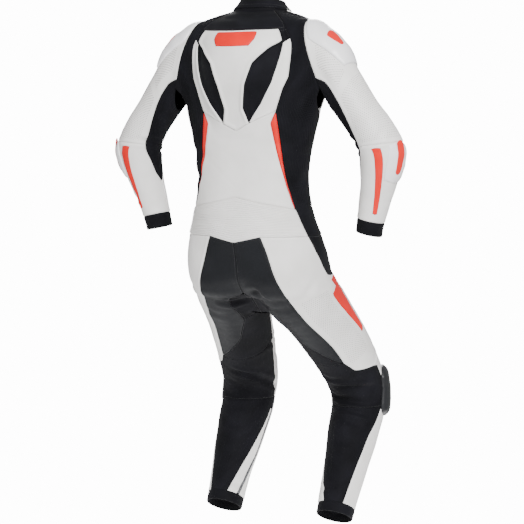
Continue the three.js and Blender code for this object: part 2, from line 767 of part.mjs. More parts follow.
// Collar: a band that stands on the neck seam and leans in towards its rim
const collarLean = 0.2;
const collarRows = 3;
const collarColumns = 20;
const collarOpening = 4; // degrees left open each side of the front middle
const frontDrop = 8; // how much lower the rim is in front
function buildCollar() {
  const net = [];
  for (let r = 0; r <= collarRows; r++) {
    const row = [];
    for (let c = 0; c <= collarColumns; c++) {
      const turn = -180 + collarOpening + ((360 - 2 * collarOpening) * c) / collarColumns;
      const base = placeOn(domains.torso, 0, turn);
      const out = new THREE.Vector3(Math.sin(turn * radians), Math.cos(turn * radians), 0);
      const tall = collarHeight - (frontDrop * (1 - Math.cos(turn * radians))) / 2;
      const rise = seamGap + (tall * (collarRows - r)) / collarRows;
      const point = base.clone().addScaledVector(out, -rise * collarLean);
      point.z += rise;
      row.push({ point, normal: out });
    }
    net.push(row);
  }
  const plain = () => 0;
  addPiece("collar", wallGeometry(movedOut(net, plain), movedOut(net, () => -wall)), "stretch", false);
}
buildCollar();

// Back of the torso
const humpTurns = [-48, -24, 0, 24, 48]; // lines that yoke and hump share
const footTurns = [-48, -36, -25, -18, -9, 0, 9, 18, 25, 36, 48]; // lines at the hump's lower edge
const lumbarTurns = [-64, -53, -41, -30, -15, 0, 15, 30, 41, 53, 64]; // lines at the lumbar panel's foot
addPanel("yoke_back", {
  domain: "torso", levels: [0, humpTopLevel], from: mirrored(stretchBack), to: stretchBack, colour: "stretch",
  cuts: cutsAt(humpTopLevel, mirrored(stretchBack), stretchBack, humpTurns),
}, false);
const humpNet = addPanel("hump_centre", {
  domain: "torso", levels: [humpTopLevel, humpFoot(18)], from: mirrored(recessInner), to: recessInner,
  foot: humpFoot, columns: 4, extraLevels: [notch.outerLevel, notch.innerLevel], colour: "white",
}, false);
addOverlay("hump_badge", humpNet, {
  rows: [0, 2], columns: [1, 3], lift: 0.4, edge: 1.2, thick: 1.6,
}, "red", false);
addPanel("hump_recess", {
  domain: "torso", levels: [humpTopLevel, 334], from: recessInner, to: recessOuter, columns: 2,
  extraLevels: [notch.outerLevel, notch.innerLevel], colour: "stretch",
}, true);
addPanel("hump_side", {
  domain: "torso", levels: [notch.innerLevel, 334], from: recessOuter, to: humpOuter, columns: 2,
  top: sideTop, straightBelowTop: true, extraLevels: [humpFoot(36), humpFoot(25)], colour: "white",
}, true);
addPanel("red_stripe", {
  domain: "torso", levels: [312, 548], from: stripeBack, to: stretchBack, columns: 1, colour: "red",
}, true);
addPanel("back_lower", {
  domain: "torso", levels: [306, 552], from: mirrored(stripeBack), to: stripeBack,
  top: humpFoot, foot: lumbarTop, colour: "white",
  cuts: footTurns.map((turn) => 0.5 + turn / (2 * stripeBack(humpFoot(turn)))),
}, false);
addPanel("back_lumbar", {
  domain: "torso", levels: [552, hipLevel], from: mirrored(stretchBack), to: stretchBack,
  top: lumbarTop, foot: lumbarFoot, rows: 20, ribs: "across", colour: "white",
  cuts: cutsAt(hipLevel, mirrored(stretchBack), stretchBack, lumbarTurns),
}, false);
addPanel("back_stretch", {
  domain: "torso", levels: [0, hipLevel], from: stretchBack, to: stretchFront, columns: 16, ribs: "along",
  extraLevels: armholeLevels, colour: "stretch",
}, true);

// Front of the torso
const zipHalf = 4; // degrees of turn
addPanel("front_chest", {
  domain: "torso", levels: [0, hipLevel], from: chestBack, to: constant(180 - zipHalf), columns: 5,
  extraLevels: armholeLevels, colour: "white",
}, true);
const frontZipNet = addPanel("front_zip", {
  domain: "torso", levels: [0, hipLevel], from: constant(180 - zipHalf), to: constant(180 + zipHalf),
  columns: 2, colour: "black",
}, false);

// Zip slider at the top of the front zip, with a pull tab that hangs on a pin between its cheeks
const sliderSize = { x: 10, y: 4, z: 14 };
const sliderTop = -16;
const cheek = { x: 1.6, y: 6, z: 6 };
const cheekInner = 3; // from the middle to each cheek
const pinRadius = 1;
const pinClearance = 0.3;
const pullSize = { x: 5, y: 1.8, z: 26 };
const pinDrop = 6; // from the slider's top to the pin
async function buildPull() {
  const wasm = await Module();
  wasm.setup();
  const solid = (geometry) => {
    geometry.deleteAttribute("normal");
    geometry.deleteAttribute("uv");
    const merged = mergeVertices(geometry);
    const mesh = new wasm.Mesh({
      numProp: 3,
      vertProperties: new Float32Array(merged.attributes.position.array),
      triVerts: new Uint32Array(merged.index.array),
    });
    return new wasm.Manifold(mesh);
  };
  const box = (size, x, y, z) => solid(new THREE.BoxGeometry(size.x, size.y, size.z).translate(x, y, z));
  const rod = (radius, length, y, z) =>
    solid(new THREE.CylinderGeometry(radius, radius, length, 12).rotateZ(Math.PI / 2).translate(0, y, z));
  const geometryOf = (part) => {
    const mesh = part.getMesh();
    const geometry = new THREE.BufferGeometry();
    geometry.setAttribute("position", new THREE.Float32BufferAttribute(mesh.vertProperties, 3));
    geometry.setIndex(Array.from(mesh.triVerts));
    return geometry;
  };
  const behindSlider = frontZipNet.flat().filter(({ point }) => point.z > sliderTop - pullSize.z);
  const faceY = Math.min(...behindSlider.map(({ point }) => point.y));
  const sliderY = faceY - pinClearance - sliderSize.y / 2;
  const pinY = faceY - pinClearance - sliderSize.y - cheek.y / 2;
  const pinZ = sliderTop - pinDrop;
  const cheekX = cheekInner + cheek.x / 2;
  const slider = box(sliderSize, 0, sliderY, sliderTop - sliderSize.z / 2)
    .add(box(cheek, cheekX, pinY + 0.1, pinZ))
    .add(box(cheek, -cheekX, pinY + 0.1, pinZ))
    .subtract(rod(pinRadius + pinClearance, 12, pinY, pinZ));
  const pin = rod(pinRadius, 2 * cheekInner + cheek.x, pinY, pinZ);
  const pull = box(pullSize, 0, pinY, pinZ - pullSize.z / 2).add(pin);
  addMesh("zip_slider", geometryOf(slider), "steel");
  addMesh("zip_pull", geometryOf(pull), "steel");
}
await buildPull();

// Sleeves
const sleeveHead = { topGap: armholeGap };
const sleeveNet = addPanel("sleeve_upper", {
  domain: "sleeve", levels: [0, 366], from: sleeveInnerBack, to: (level) => 360 + sleeveInnerFront(level),
  columns: 10, colour: "white", ...sleeveHead,
}, true);
addPanel("sleeve_inner", {
  domain: "sleeve", levels: [0, 492], from: sleeveInnerFront, to: sleeveInnerBack, columns: 4,
  colour: "stretch", ...sleeveHead,
}, true);
const forearmNet = addPanel("sleeve_lower", {
  domain: "sleeve", levels: [366, 580], from: sleeveInnerBack, to: (level) => 360 + sleeveInnerFront(level),
  columns: 9, colour: "white",
}, true);
addPanel("sleeve_cuff", {
  domain: "sleeve", levels: [580, 632], from: constant(-90), to: constant(270), columns: 12,
  colour: "stretch",
}, true);
addOverlay("shoulder_cup", sleeveNet, {
  rows: [0, 4], columns: [3, 7], lift: 0.4, edge: 3, thick: 9,
}, "plasticWhite", true);
addOverlay("elbow_guard", forearmNet, {
  rows: [0, 3], columns: [1, 5], lift: 0.4, edge: 2, thick: 7,
}, "plasticWhite", true);

// Trousers
const hipTop = hipLevel - torsoToLeg;
const kneeOuter = (level) => (level < 504 ? seatOuter(level) : calfOuter(level));
addPanel("seat", {
  domain: "leg", levels: [hipTop, 428], from: seatInnerOrMiddle, to: seatOuter,
  top: seatTop, straightBelowTop: true, extraLevels: [119, 122], columns: 4, colour: "black",
}, true);
addPanel("hip", {
  domain: "leg", levels: [hipTop, 504], from: seatOuter, to: hipFront, colour: "white", topGap: seamGap,
  cuts: cutsAt(hipTop, seatOuter, hipFront, [36, 41, 47, 53, 58, 64, 70].map(legTurn)),
}, true);
addPanel("hip_front", {
  domain: "leg", levels: [hipTop, crotchLevel], from: hipFront, to: frontMiddle, colour: "stretch",
  topGap: seamGap, footGap: 1.5,
  cuts: cutsAt(hipTop, hipFront, frontMiddle, [88, 100, 112, 124.8, 137.6, 150.4, 163.2].map(legTurn)),
}, true);
const crotchColumns = 3;
const crotchStep = (seatInner(crotchLevel) - crotchTurn) / crotchColumns;
const crotchTurns = [crotchTurn, crotchTurn + crotchStep, crotchTurn + 2 * crotchStep]; // lines at its foot
addPanel("crotch_stretch", {
  domain: "leg", levels: [122, crotchLevel], from: backMiddle, to: seatInner, columns: crotchColumns,
  fromMiddle: true, colour: "stretch",
}, true);
addPanel("inner_thigh", {
  domain: "leg", levels: [crotchLevel, 432], from: innerFront, to: seatInner, colour: "stretch",
  topGap: seamGap,
  cuts: cutsAt(crotchLevel, innerFront, seatInner, crotchTurns),
}, true);
addPanel("knee_back", {
  domain: "leg", levels: [432, 640], from: innerFront, to: kneeOuter, columns: 6, colour: "stretch",
}, true);
const kneeNet = addPanel("knee_front", {
  domain: "leg", levels: [504, 640], from: calfOuter, to: (level) => 360 + innerFront(level), columns: 8,
  colour: "white",
}, true);
addOverlay("knee_cup", kneeNet, {
  rows: [1, 4], columns: [4, 7], lift: 0.4, edge: 2, thick: 6,
}, "plasticWhite", true);
addOverlay("knee_slider", kneeNet, {
  rows: [1, 5], columns: [0, 3], lift: 0.4, edge: 6, thick: 16,
}, "plasticBlack", true);
addPanel("calf", {
  domain: "leg", levels: [640, 942], from: calfInner, to: calfOuter, columns: 6, colour: "stretch",
}, true);
addPanel("calf_strip", {
  domain: "leg", levels: [672, 942], from: zipBack, to: calfInner, columns: 1, colour: "white",
}, true);
addPanel("leg_zip", {
  domain: "leg", levels: [640, 942], from: zipFront, to: zipBack, columns: 1, colour: "black",
}, true);
addPanel("shin", {
  domain: "leg", levels: [640, 942], from: calfOuter, to: (level) => 360 + zipFront(level), columns: 7,
  colour: "white",
}, true);
addPanel("leg_cuff", {
  domain: "leg", levels: [942, 970], from: constant(-95), to: constant(265), columns: 14, colour: "stretch",
}, true);

export default suit;
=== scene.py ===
# A one-piece race suit, hollow and filled out as it is when worn. Lengths in the tables are millimetres
# and turn to metres when a mesh is made. +Z up, the front faces -Y, the wearer's left is +X.
import math
import bpy
import numpy as np
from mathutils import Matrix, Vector


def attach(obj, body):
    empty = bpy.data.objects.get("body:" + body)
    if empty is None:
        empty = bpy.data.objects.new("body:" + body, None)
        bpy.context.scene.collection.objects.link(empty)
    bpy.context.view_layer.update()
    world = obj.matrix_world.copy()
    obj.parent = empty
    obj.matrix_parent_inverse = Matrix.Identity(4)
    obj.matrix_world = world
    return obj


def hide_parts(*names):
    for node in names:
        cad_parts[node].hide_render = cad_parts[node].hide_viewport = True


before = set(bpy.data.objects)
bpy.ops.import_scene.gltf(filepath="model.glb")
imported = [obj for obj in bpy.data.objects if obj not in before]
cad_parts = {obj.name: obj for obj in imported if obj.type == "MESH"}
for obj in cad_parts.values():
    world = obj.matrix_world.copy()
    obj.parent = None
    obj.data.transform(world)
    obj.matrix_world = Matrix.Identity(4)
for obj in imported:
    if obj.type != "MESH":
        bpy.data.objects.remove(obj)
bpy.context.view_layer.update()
metre = 0.001

# The filled-out form that every panel is cut from
body = {
    "torso": [  # z, centreY, halfWidth, front, back
        (30, -4, 60, 58, 60), (0, 0, 68, 62, 66), (-14, 8, 112, 68, 78), (-40, 20, 165, 82, 96),
        (-80, 32, 182, 98, 106), (-130, 42, 186, 112, 106), (-190, 49, 184, 120, 102),
        (-250, 53, 178, 120, 97), (-300, 55, 166, 114, 93), (-350, 56, 155, 108, 91),
        (-400, 56, 148, 104, 92), (-440, 54, 146, 102, 97), (-480, 51, 150, 103, 106),
        (-530, 46, 161, 107, 120), (-580, 32, 171, 112, 138), (-630, 12, 172, 108, 144),
        (-680, 6, 150, 90, 134), (-712, 0, 104, 56, 96), (-734, 0, 40, 20, 44)],
    "leg": [  # x, y, z, side, front, back
        (80, 44, -650, 94, 98, 106), (95, -14, -712, 93, 98, 100), (111, -74, -768, 88, 97, 88),
        (126, -134, -828, 84, 96, 80), (146, -208, -910, 80, 92, 75), (160, -261, -988, 75, 88, 71),
        (165, -264, -1055, 72, 82, 68), (165, -231, -1118, 69, 68, 71), (165, -191, -1185, 61, 59, 64),
        (164, -150, -1250, 54, 52, 54), (163, -104, -1326, 49, 48, 48), (162, -62, -1395, 48, 47, 47)],
    "arm": [  # x, y, z, side, front, back
        (110, 40, -108, 58, 62, 62), (180, 42, -122, 66, 68, 66), (236, 42, -188, 56, 64, 62),
        (288, 41, -260, 51, 57, 56), (326, 38, -312, 54, 57, 57), (343, 30, -358, 57, 56, 60),
        (331, 20, -430, 46, 50, 50), (316, 12, -490, 39, 43, 43), (303, 5, -545, 34, 38, 38),
        (294, 0, -600, 33, 37, 37)],
    "hump": [  # z, height, halfWidth
        (-20, 0, 110), (-44, 10, 126), (-70, 30, 138), (-120, 42, 142), (-180, 40, 136),
        (-230, 26, 116), (-280, 10, 84), (-325, 0, 60)],
    "torsoPower": 2.25, "humpBase": 60, "slopeStep": 5,
    "armpitBlend": 46, "crotchBlend": 24, "seatBlend": 54, "legsFromZ": -480,
}

# Rows that run round each part of the body, level millimetres below its top
rowTables = {
    "torso": [  # level, y, z, rise, tilt
        (0, 2, -40, 31, 5), (50, 14, -70, 36, 6), (110, 26, -108, 24, 4), (170, 38, -146, 11, 2),
        (240, 46, -190, 0, 0), (622, 40, -572, 0, 0), (662, 40, -612, 0, 0)],
    "sleeve": [  # level, outX, outZ, inX, inZ, y
        (0, 150, -29, 217, -248, 42), (60, 203, -60, 224, -258, 42), (120, 253, -108, 231, -269, 42),
        (180, 290, -160, 240, -282, 41), (240, 322, -212, 252, -298, 40), (300, 354, -270, 266, -317, 38),
        (355, 388, -322, 279, -341, 34), (390, 400, -356, 286, -360, 31), (430, 394, -395, 287, -385, 26),
        (500, 370, -462, 283, -444, 17), (580, 340, -541, 271, -525, 6), (632, 327, -592, 263, -577, 0)],
    "leg": [  # level, x, y, z, pitch
        (-20, 80, 40, -552, 0), (0, 80, 40, -572, 0), (20, 80, 40, -592, 0), (40, 80, 40, -612, 0),
        (90, 84, 24, -660, 12), (150, 90, 0, -706, 27), (220, 100, -38, -750, 38), (290, 113, -84, -790, 44),
        (370, 126, -137, -834, 46), (480, 142, -202, -912, 40), (560, 155, -248, -975, 25),
        (620, 162, -264, -1030, 6), (670, 165, -256, -1076, -10), (735, 166, -224, -1132, -24),
        (815, 165, -185, -1200, -30), (960, 163, -110, -1318, -32), (990, 162, -94, -1343, -32)],
}


def curveThrough(rows, place):
    table = np.array(rows, float)
    at, values = table[:, 0], table[:, 1:]
    order = np.arange(len(at))
    before, after = np.maximum(order - 1, 0), np.minimum(order + 1, len(at) - 1)
    slopes = (values[after] - values[before]) / (at[after] - at[before])[:, None]
    way = -1 if at[0] > at[-1] else 1
    place = np.asarray(place, float)
    i = np.searchsorted(way * at[1:-1], way * place)
    step = (at[i + 1] - at[i])[..., None]
    t = np.clip((place - at[i])[..., None] / step, 0, 1)
    bend = t * (1 - t) * ((1 - t) * slopes[i] - t * slopes[i + 1]) * step
    return values[i] + (values[i + 1] - values[i]) * t * t * (3 - 2 * t) + bend


def limbLine(stations):
    keyed = [(i, *row) for i, row in enumerate(stations)]
    return curveThrough(keyed, np.arange((len(stations) - 1) * 3 + 1) / 3)


limbLines = {"leg": limbLine(body["leg"]), "arm": limbLine(body["arm"])}


def limbDistance(line, p):
    start, step = line[:-1], np.diff(line, axis=0)
    squared = (step[:, :3] ** 2).sum(1)
    q = p[:, None, :] - start[None, :, :3]
    t = np.clip((q * step[:, :3]).sum(2) / squared, 0, 1)
    away = q - t[..., None] * step[:, :3]
    nearest = (away ** 2).sum(2).argmin(1)
    t = t[np.arange(len(p)), nearest][:, None]
    here = start[nearest] + step[nearest] * t
    axis = step[nearest, :3] / np.sqrt(squared[nearest])[:, None]
    side = np.array([1.0, 0, 0]) - axis * axis[:, :1]
    side /= np.linalg.norm(side, axis=1)[:, None]
    back = np.cross(side, axis)
    back[back[:, 1] < 0] *= -1
    q = p - here[:, :3]
    depth = (q * back).sum(1)
    deep = np.where(depth < 0, here[:, 4], here[:, 5])
    r = np.linalg.norm(q, axis=1) + 1e-9
    across, past = (q * side).sum(1) / here[:, 3], (q * axis).sum(1) / here[:, 3]
    return r - r / np.sqrt(across ** 2 + (depth / deep) ** 2 + past ** 2 + 1e-12)


def torsoDistance(x, y, z):
    row = curveThrough(body["torso"], z)
    depth = y - row[:, 0]
    hump = curveThrough(body["hump"], z)
    t = np.minimum(np.abs(x) / hump[:, 1], 1)
    lift = np.where(z < body["hump"][-1][0], 0, hump[:, 0] * (1 - t ** 3) ** 1.5)
    lift *= np.clip(depth / body["humpBase"], 0, 1)
    deep = np.where(depth < 0, row[:, 2], row[:, 3]) + lift
    power = body["torsoPower"]
    r = np.hypot(x, depth) + 1e-9
    reach = ((np.abs(x) / row[:, 1]) ** power + (np.abs(depth) / deep) ** power) ** (1 / power) + 1e-12
    step = body["slopeStep"]
    slope = (curveThrough(body["torso"], z - step)[:, 1] - row[:, 1]) / step
    return (r - r / reach) / np.hypot(1, slope) - np.minimum(z - body["torso"][-1][0], 0)


def blend(a, b, radius):
    h = np.maximum(radius - np.abs(a - b), 0) / radius
    return np.minimum(a, b) - h * h * radius / 4


def bodyDistance(p, chunk=20000):
    if len(p) > chunk:
        return np.concatenate([bodyDistance(p[i:i + chunk]) for i in range(0, len(p), chunk)])
    q = p.copy()
    q[:, 0] = np.abs(q[:, 0])
    d = torsoDistance(q[:, 0], q[:, 1], q[:, 2])
    low = (q[:, 2] < body["legsFromZ"]) & (q[:, 0] < 262)
    if low.any():
        own = limbDistance(limbLines["leg"], q[low])
        other = limbDistance(limbLines["leg"], q[low] * np.array([-1.0, 1, 1]))
        legs = blend(own, other, body["crotchBlend"])
        d[low] = blend(d[low], legs, body["seatBlend"])
    high = (q[:, 2] > -720) & ((q[:, 2] > -330) | (q[:, 0] > 215))
    if high.any():
        d[high] = blend(d[high], limbDistance(limbLines["arm"], q[high]), body["armpitBlend"])
    return d


def castOut(start, along, stopAtMiddle):
    reach = np.full(len(start), 400.0)
    if stopAtMiddle:
        inward = along[:, 0] < -1e-9
        reach[inward] = np.minimum(-start[inward, 0] / along[inward, 0], 400)
    near, far = np.zeros(len(start)), np.zeros(len(start))
    farD = bodyDistance(start)
    nearD = farD.copy()
    open_ = np.where((farD < 0) & (reach > 0))[0]
    while len(open_):
        near[open_], nearD[open_] = far[open_], farD[open_]
        far[open_] = np.minimum(far[open_] + np.maximum(3, -0.6 * farD[open_]), reach[open_])
        farD[open_] = bodyDistance(start[open_] + along[open_] * far[open_, None])
        open_ = open_[(farD[open_] < 0) & (far[open_] < reach[open_])]
    inside = farD < 0
    for _ in range(7):  # false position with the stale end halved
        t = (near * farD - far * nearD) / np.where(farD == nearD, 1, farD - nearD)
        t = np.where(inside, far, np.clip(t, near, far))
        d = bodyDistance(start + along * t[:, None])
        below = d < 0
        near, far = np.where(below, t, near), np.where(below, far, t)
        nearD, farD = np.where(below, d, nearD * 0.5), np.where(below, farD * 0.5, d)
    return start + along * t[:, None]


def surfaceNormal(p):
    reach = 1.5
    parts = []
    for axis in np.eye(3) * reach:
        parts.append(bodyDistance(p + axis) - bodyDistance(p - axis))
    normal = np.stack(parts, 1)
    return normal / np.linalg.norm(normal, axis=1)[:, None]


def raysAt(domain, level, turn):
    level, turn = np.broadcast_arrays(np.asarray(level, float), np.asarray(turn, float))
    level, turn = level.ravel(), np.radians(turn.ravel())
    row = curveThrough(rowTables[domain], level)
    sin, cos = np.sin(turn), np.cos(turn)
    if domain == "torso":
        up = np.radians(row[:, 2] + row[:, 3] * cos)
        start = np.stack([row[:, 0] * 0, row[:, 0], row[:, 1]], 1)
        return start, np.stack([sin * np.cos(up), cos * np.cos(up), np.sin(up)], 1)
    if domain == "sleeve":
        start = np.stack([(row[:, 0] + row[:, 2]) / 2, row[:, 4], (row[:, 1] + row[:, 3]) / 2], 1)
        out = np.stack([row[:, 0] - row[:, 2], row[:, 0] * 0, row[:, 1] - row[:, 3]], 1)
        out /= np.linalg.norm(out, axis=1)[:, None]
        return start, out * sin[:, None] + np.stack([sin * 0, cos, sin * 0], 1)
    pitch = np.radians(row[:, 3])
    return row[:, :3], np.stack([sin, cos * np.cos(pitch), -cos * np.sin(pitch)], 1)


def placeOn(domain, level, turn):
    shape = np.broadcast(np.asarray(level), np.asarray(turn)).shape
    start, along = raysAt(domain, level, turn)
    return castOut(start, along, domain == "leg").reshape(*shape, 3)


def turnAtPlane(domain, level, normal, reach, outside, inside):
    outside, inside = np.full(len(level), float(outside)), np.full(len(level), float(inside))
    for _ in range(20):
        turn = (outside + inside) / 2
        start, along = raysAt(domain, level, turn)
        t = (reach - start @ normal) / (along @ normal)
        hit = (t > 0) & (t < 500) & (bodyDistance(start + along * t[:, None]) < 0)
        inside, outside = np.where(hit, turn, inside), np.where(hit, outside, turn)
    return (outside + inside) / 2


def seam(*rows):
    levels, turns = zip(*rows)
    return lambda level: np.interp(level, levels, turns)


def planeSeam(domain, normal, reach, outside, inside, first, last):
    levels = np.linspace(first, last, 60)
    turns = turnAtPlane(domain, levels, np.array(normal), reach, outside, inside)
    return lambda level: np.interp(level, levels, turns)


# Seams: the turn in degrees at each level, 0 at the back, 90 at the outer side, 180 at the front
armhole = {"normal": (0.956, 0, 0.293), "reach": 134.5, "top": 98.8, "bottom": 301.9}
armholeCut = armhole["normal"], armhole["reach"]
armholeLevels = armhole["top"], armhole["bottom"]
armholeBack = planeSeam("torso", *armholeCut, 2, 90, *armholeLevels)
armholeFront = planeSeam("torso", *armholeCut, 178, 90, *armholeLevels)
sideSeam = seam((armhole["bottom"], 90), (330, 103), (400, 114), (622, 112))
hipLevel, torsoToLeg, crotchLevel, crotchTurn = 620, 622, 230.5, -114
stretchBack = seam((0, 57), (120, 55), (150, 58), (222, 58), (252, 53), (306, 48), (342, 50.5), (462, 58),
                   (552, 67), (622, 76))
stripeBack = seam((306, 48), (336, 43), (420, 51), (552, 66))
humpOuter = seam((120, 55), (150, 58), (222, 58), (252, 53), (306, 48), (337.25, 18))
recessOuter = seam((120, 55), (142, 57.2), (150, 51), (180, 48), (234, 42), (288, 32), (337.25, 18))
recessInner = seam((120, 48), (146, 50), (160, 37), (180, 27), (192, 22), (240, 15), (300, 11.5),
                   (337.25, 18))
backMiddle = planeSeam("leg", (-1, 0, 0), 0, 0, crotchTurn, -2, crotchLevel)
frontMiddle = planeSeam("leg", (-1, 0, 0), 0, 181, 360 + crotchTurn, -2, crotchLevel)
seatTopHalf = placeOn("torso", hipLevel, 30.0)[0]


def throughArmhole(outerSeam):
    def line(level):
        level = np.asarray(level, float)
        turn = np.where(level < armhole["bottom"], outerSeam(level), sideSeam(level))
        return np.where(level <= armhole["top"], 90, turn)
    return line


def legTurn(torsoTurn):
    point = placeOn("torso", hipLevel, float(torsoTurn))
    centre = curveThrough(rowTables["leg"], np.array([hipLevel - torsoToLeg]))[0]
    turn = math.degrees(math.atan2(point[0] - centre[0], point[1] - centre[1]))
    return turn + 360 if torsoTurn > 90 and turn < 0 else turn


stretchFront, chestBack = throughArmhole(armholeBack), throughArmhole(armholeFront)
seatOuter = seam((-2, legTurn(30)), (48, 4), (115, 16), (186, 24), (312, 31), (432, 35), (474, 47), (504, 86))
seatInnerLow = seam((122, -38), (134, -22), (160, -22), (190, -32), (234, -40), (324, -22), (390, 8),
                    (432, 33))
innerFront = seam((0, -135), (crotchLevel, -124), (330, -104), (432, -99), (560, -96), (640, -104))
hipFrontHigh = seam((-2, legTurn(76)), (45, 80), (110, 98), (134, 117), (160, 145), (186, 178),
                    (crotchLevel, 360 + float(innerFront(crotchLevel))))
calfOuter = seam((504, 86), (522, 101), (624, 101), (652, 80), (735, 61), (834, 49), (942, 39))
kneeGuardFrom = seam((504, 86), (640, 78))
kneeGuardTo = seam((504, 249.5), (640, 256))
calfInner = seam((640, -102), (735, -82), (822, -60), (942, -26))
zipBack = seam((640, -104), (822, -88), (942, -58))
sleeveBack = seam((0, -32), (72, -22), (180, -22), (264, -28), (366, -40), (470, -68), (498, -89.7),
                  (632, -89.7))
sleeveFront = seam((0, -148), (180, -150), (366, -140), (470, -112), (498, -90.3), (632, -90.3))


def minus(line):
    return lambda level: -line(level)


def plus(line, turn):
    return lambda level: line(level) + turn


def constant(turn):
    return lambda level: np.full(np.shape(level), float(turn))


def share(first, last, a):
    return lambda level: first(level) + (last(level) - first(level)) * a


def seatInner(level):
    return np.where(np.asarray(level) < 122, backMiddle(level), seatInnerLow(level))


def kneeOuter(level):
    return np.where(np.asarray(level) < 504, seatOuter(level), calfOuter(level))


def hipFront(level):
    level = np.asarray(level, float)
    return np.where(level < crotchLevel, hipFrontHigh(level), 360 + innerFront(level))


def humpFoot(turn, point):
    return 356 - np.abs(turn) * 50 / 48


def sideTop(turn, point):
    return 150 - (turn - 51) * 8 / 6.2


def lumbarTop(turn, point):
    return 522 + np.abs(turn) * 30 / 67


def lumbarFoot(turn, point):
    return hipLevel + 16 * np.maximum(1 - np.abs(point[:, 0]) / seatTopHalf, 0)


def seatTop(turn, point):
    return lumbarFoot(turn, point) - torsoToLeg


# Soft creases: places on the body as level and turn, how deep and how wide each lies
creases = {
    "l": [
        ("leg", [(138, 0), (150, -24), (151, -51)], 5.5, 9),
        ("leg", [(176, 30), (190, 8), (196, -20)], 2.2, 12),
        ("leg", [(96, 60), (118, 44), (126, 22)], 2.6, 12),
        ("leg", [(486, 24), (522, -30), (618, -93)], 5.5, 9),
        ("leg", [(540, 40), (566, 4), (600, -30)], 2.2, 10),
        ("leg", [(600, 66), (622, 30), (640, 0)], 2.4, 10),
        ("leg", [(650, 50), (676, 18), (684, -24)], 2.2, 9),
        ("leg", [(720, 30), (742, 2), (744, -34)], 2.4, 9),
        ("leg", [(60, 132), (88, 160), (96, 200)], 5.0, 12),
        ("leg", [(118, 150), (140, 184), (150, 226)], 4.0, 10),
        ("leg", [(420, -70), (452, -104), (470, -140)], 3.0, 9),
        ("leg", [(560, -60), (600, -96), (616, -130)], 4.0, 9),
        ("leg", [(900, 20), (914, -30), (912, -80)], 2.2, 8),
        ("sleeve", [(322, -96), (346, -50), (352, -10)], 3.6, 8),
        ("sleeve", [(352, -120), (368, -92), (372, -60)], 5.0, 8),
        ("sleeve", [(386, -140), (396, -100), (404, -52)], 3.6, 7),
        ("sleeve", [(300, 150), (330, 190), (344, 230)], 3.6, 9),
        ("sleeve", [(366, 160), (380, 200), (376, 240)], 4.6, 8),
        ("sleeve", [(20, 150), (60, 164), (96, 196)], 4.0, 12),
        ("sleeve", [(24, -10), (60, -18), (110, -30)], 3.2, 11),
        ("sleeve", [(508, 10), (528, 50), (530, 90)], 1.8, 8),
        ("torso", [(250, 72), (300, 66), (352, 70)], 2.6, 12),
        ("torso", [(392, 96), (412, 70), (420, 40)], 2.2, 14),
        ("torso", [(448, 104), (470, 76), (474, 52)], 2.6, 12),
        ("torso", [(380, 120), (408, 140), (420, 166)], 4.6, 14),
        ("torso", [(440, 118), (470, 142), (474, 170)], 5.0, 13),
        ("torso", [(508, 116), (524, 146), (520, 172)], 3.8, 12),
        ("torso", [(150, 150), (210, 134), (262, 112)], 3.6, 16),
        ("torso", [(566, 20), (580, 44), (574, 66)], 1.4, 10),
    ],
    "r": [
        ("leg", [(120, -36), (108, -18), (132, -12)], 4.6, 8),
        ("leg", [(150, -44), (160, -8), (152, 30)], 2.6, 11),
        ("leg", [(100, 66), (122, 52), (140, 30)], 2.4, 12),
        ("leg", [(540, -27), (546, 21), (570, 72)], 6.0, 9),
        ("leg", [(500, -60), (506, -16), (498, 26)], 3.6, 9),
        ("leg", [(590, -70), (604, -10), (622, 52)], 5.0, 8),
        ("leg", [(640, -50), (652, 4), (672, 60)], 4.2, 8),
        ("leg", [(690, -30), (700, 10), (712, 40)], 2.8, 9),
        ("leg", [(760, -40), (772, -6), (768, 30)], 2.0, 9),
        ("leg", [(56, 128), (78, 156), (92, 204)], 4.6, 12),
        ("leg", [(124, 148), (148, 190), (150, 232)], 4.4, 10),
        ("leg", [(410, -64), (436, -100), (462, -140)], 3.4, 9),
        ("leg", [(556, -64), (590, -100), (606, -132)], 4.4, 9),
        ("leg", [(892, 30), (906, -20), (900, -70)], 2.4, 8),
        ("sleeve", [(366, -28), (354, 16), (324, 53)], 2.6, 8),
        ("sleeve", [(356, -124), (372, -90), (380, -50)], 5.4, 8),
        ("sleeve", [(392, -134), (404, -96), (412, -46)], 3.2, 7),
        ("sleeve", [(330, -110), (340, -70), (336, -34)], 3.4, 8),
        ("sleeve", [(306, 148), (338, 188), (350, 232)], 4.0, 9),
        ("sleeve", [(370, 156), (384, 196), (382, 240)], 4.2, 8),
        ("sleeve", [(16, 148), (54, 160), (90, 200)], 4.4, 12),
        ("sleeve", [(30, -8), (70, -14), (120, -28)], 2.8, 11),
        ("sleeve", [(500, 40), (518, 70), (516, 110)], 1.6, 8),
        ("torso", [(244, 70), (296, 64), (340, 66)], 3.0, 12),
        ("torso", [(400, 98), (424, 72), (436, 44)], 2.6, 14),
        ("torso", [(460, 102), (486, 74), (490, 54)], 2.2, 12),
        ("torso", [(372, 122), (396, 142), (410, 168)], 5.0, 14),
        ("torso", [(432, 116), (458, 140), (466, 172)], 4.4, 13),
        ("torso", [(500, 118), (518, 144), (512, 170)], 4.0, 12),
        ("torso", [(144, 152), (200, 136), (256, 110)], 4.0, 16),
        ("torso", [(572, 24), (588, 46), (580, 68)], 1.6, 10),
    ],
}
creaseLines = {}
for side in "lr":
    creaseLines[side] = []
    for domain, places, depth, width in creases[side]:
        table = [(i, *place) for i, place in enumerate(places)]
        smooth = curveThrough(table, np.linspace(0, len(places) - 1, 15))
        creaseLines[side].append((placeOn(domain, smooth[:, 0], smooth[:, 1]), depth, width))

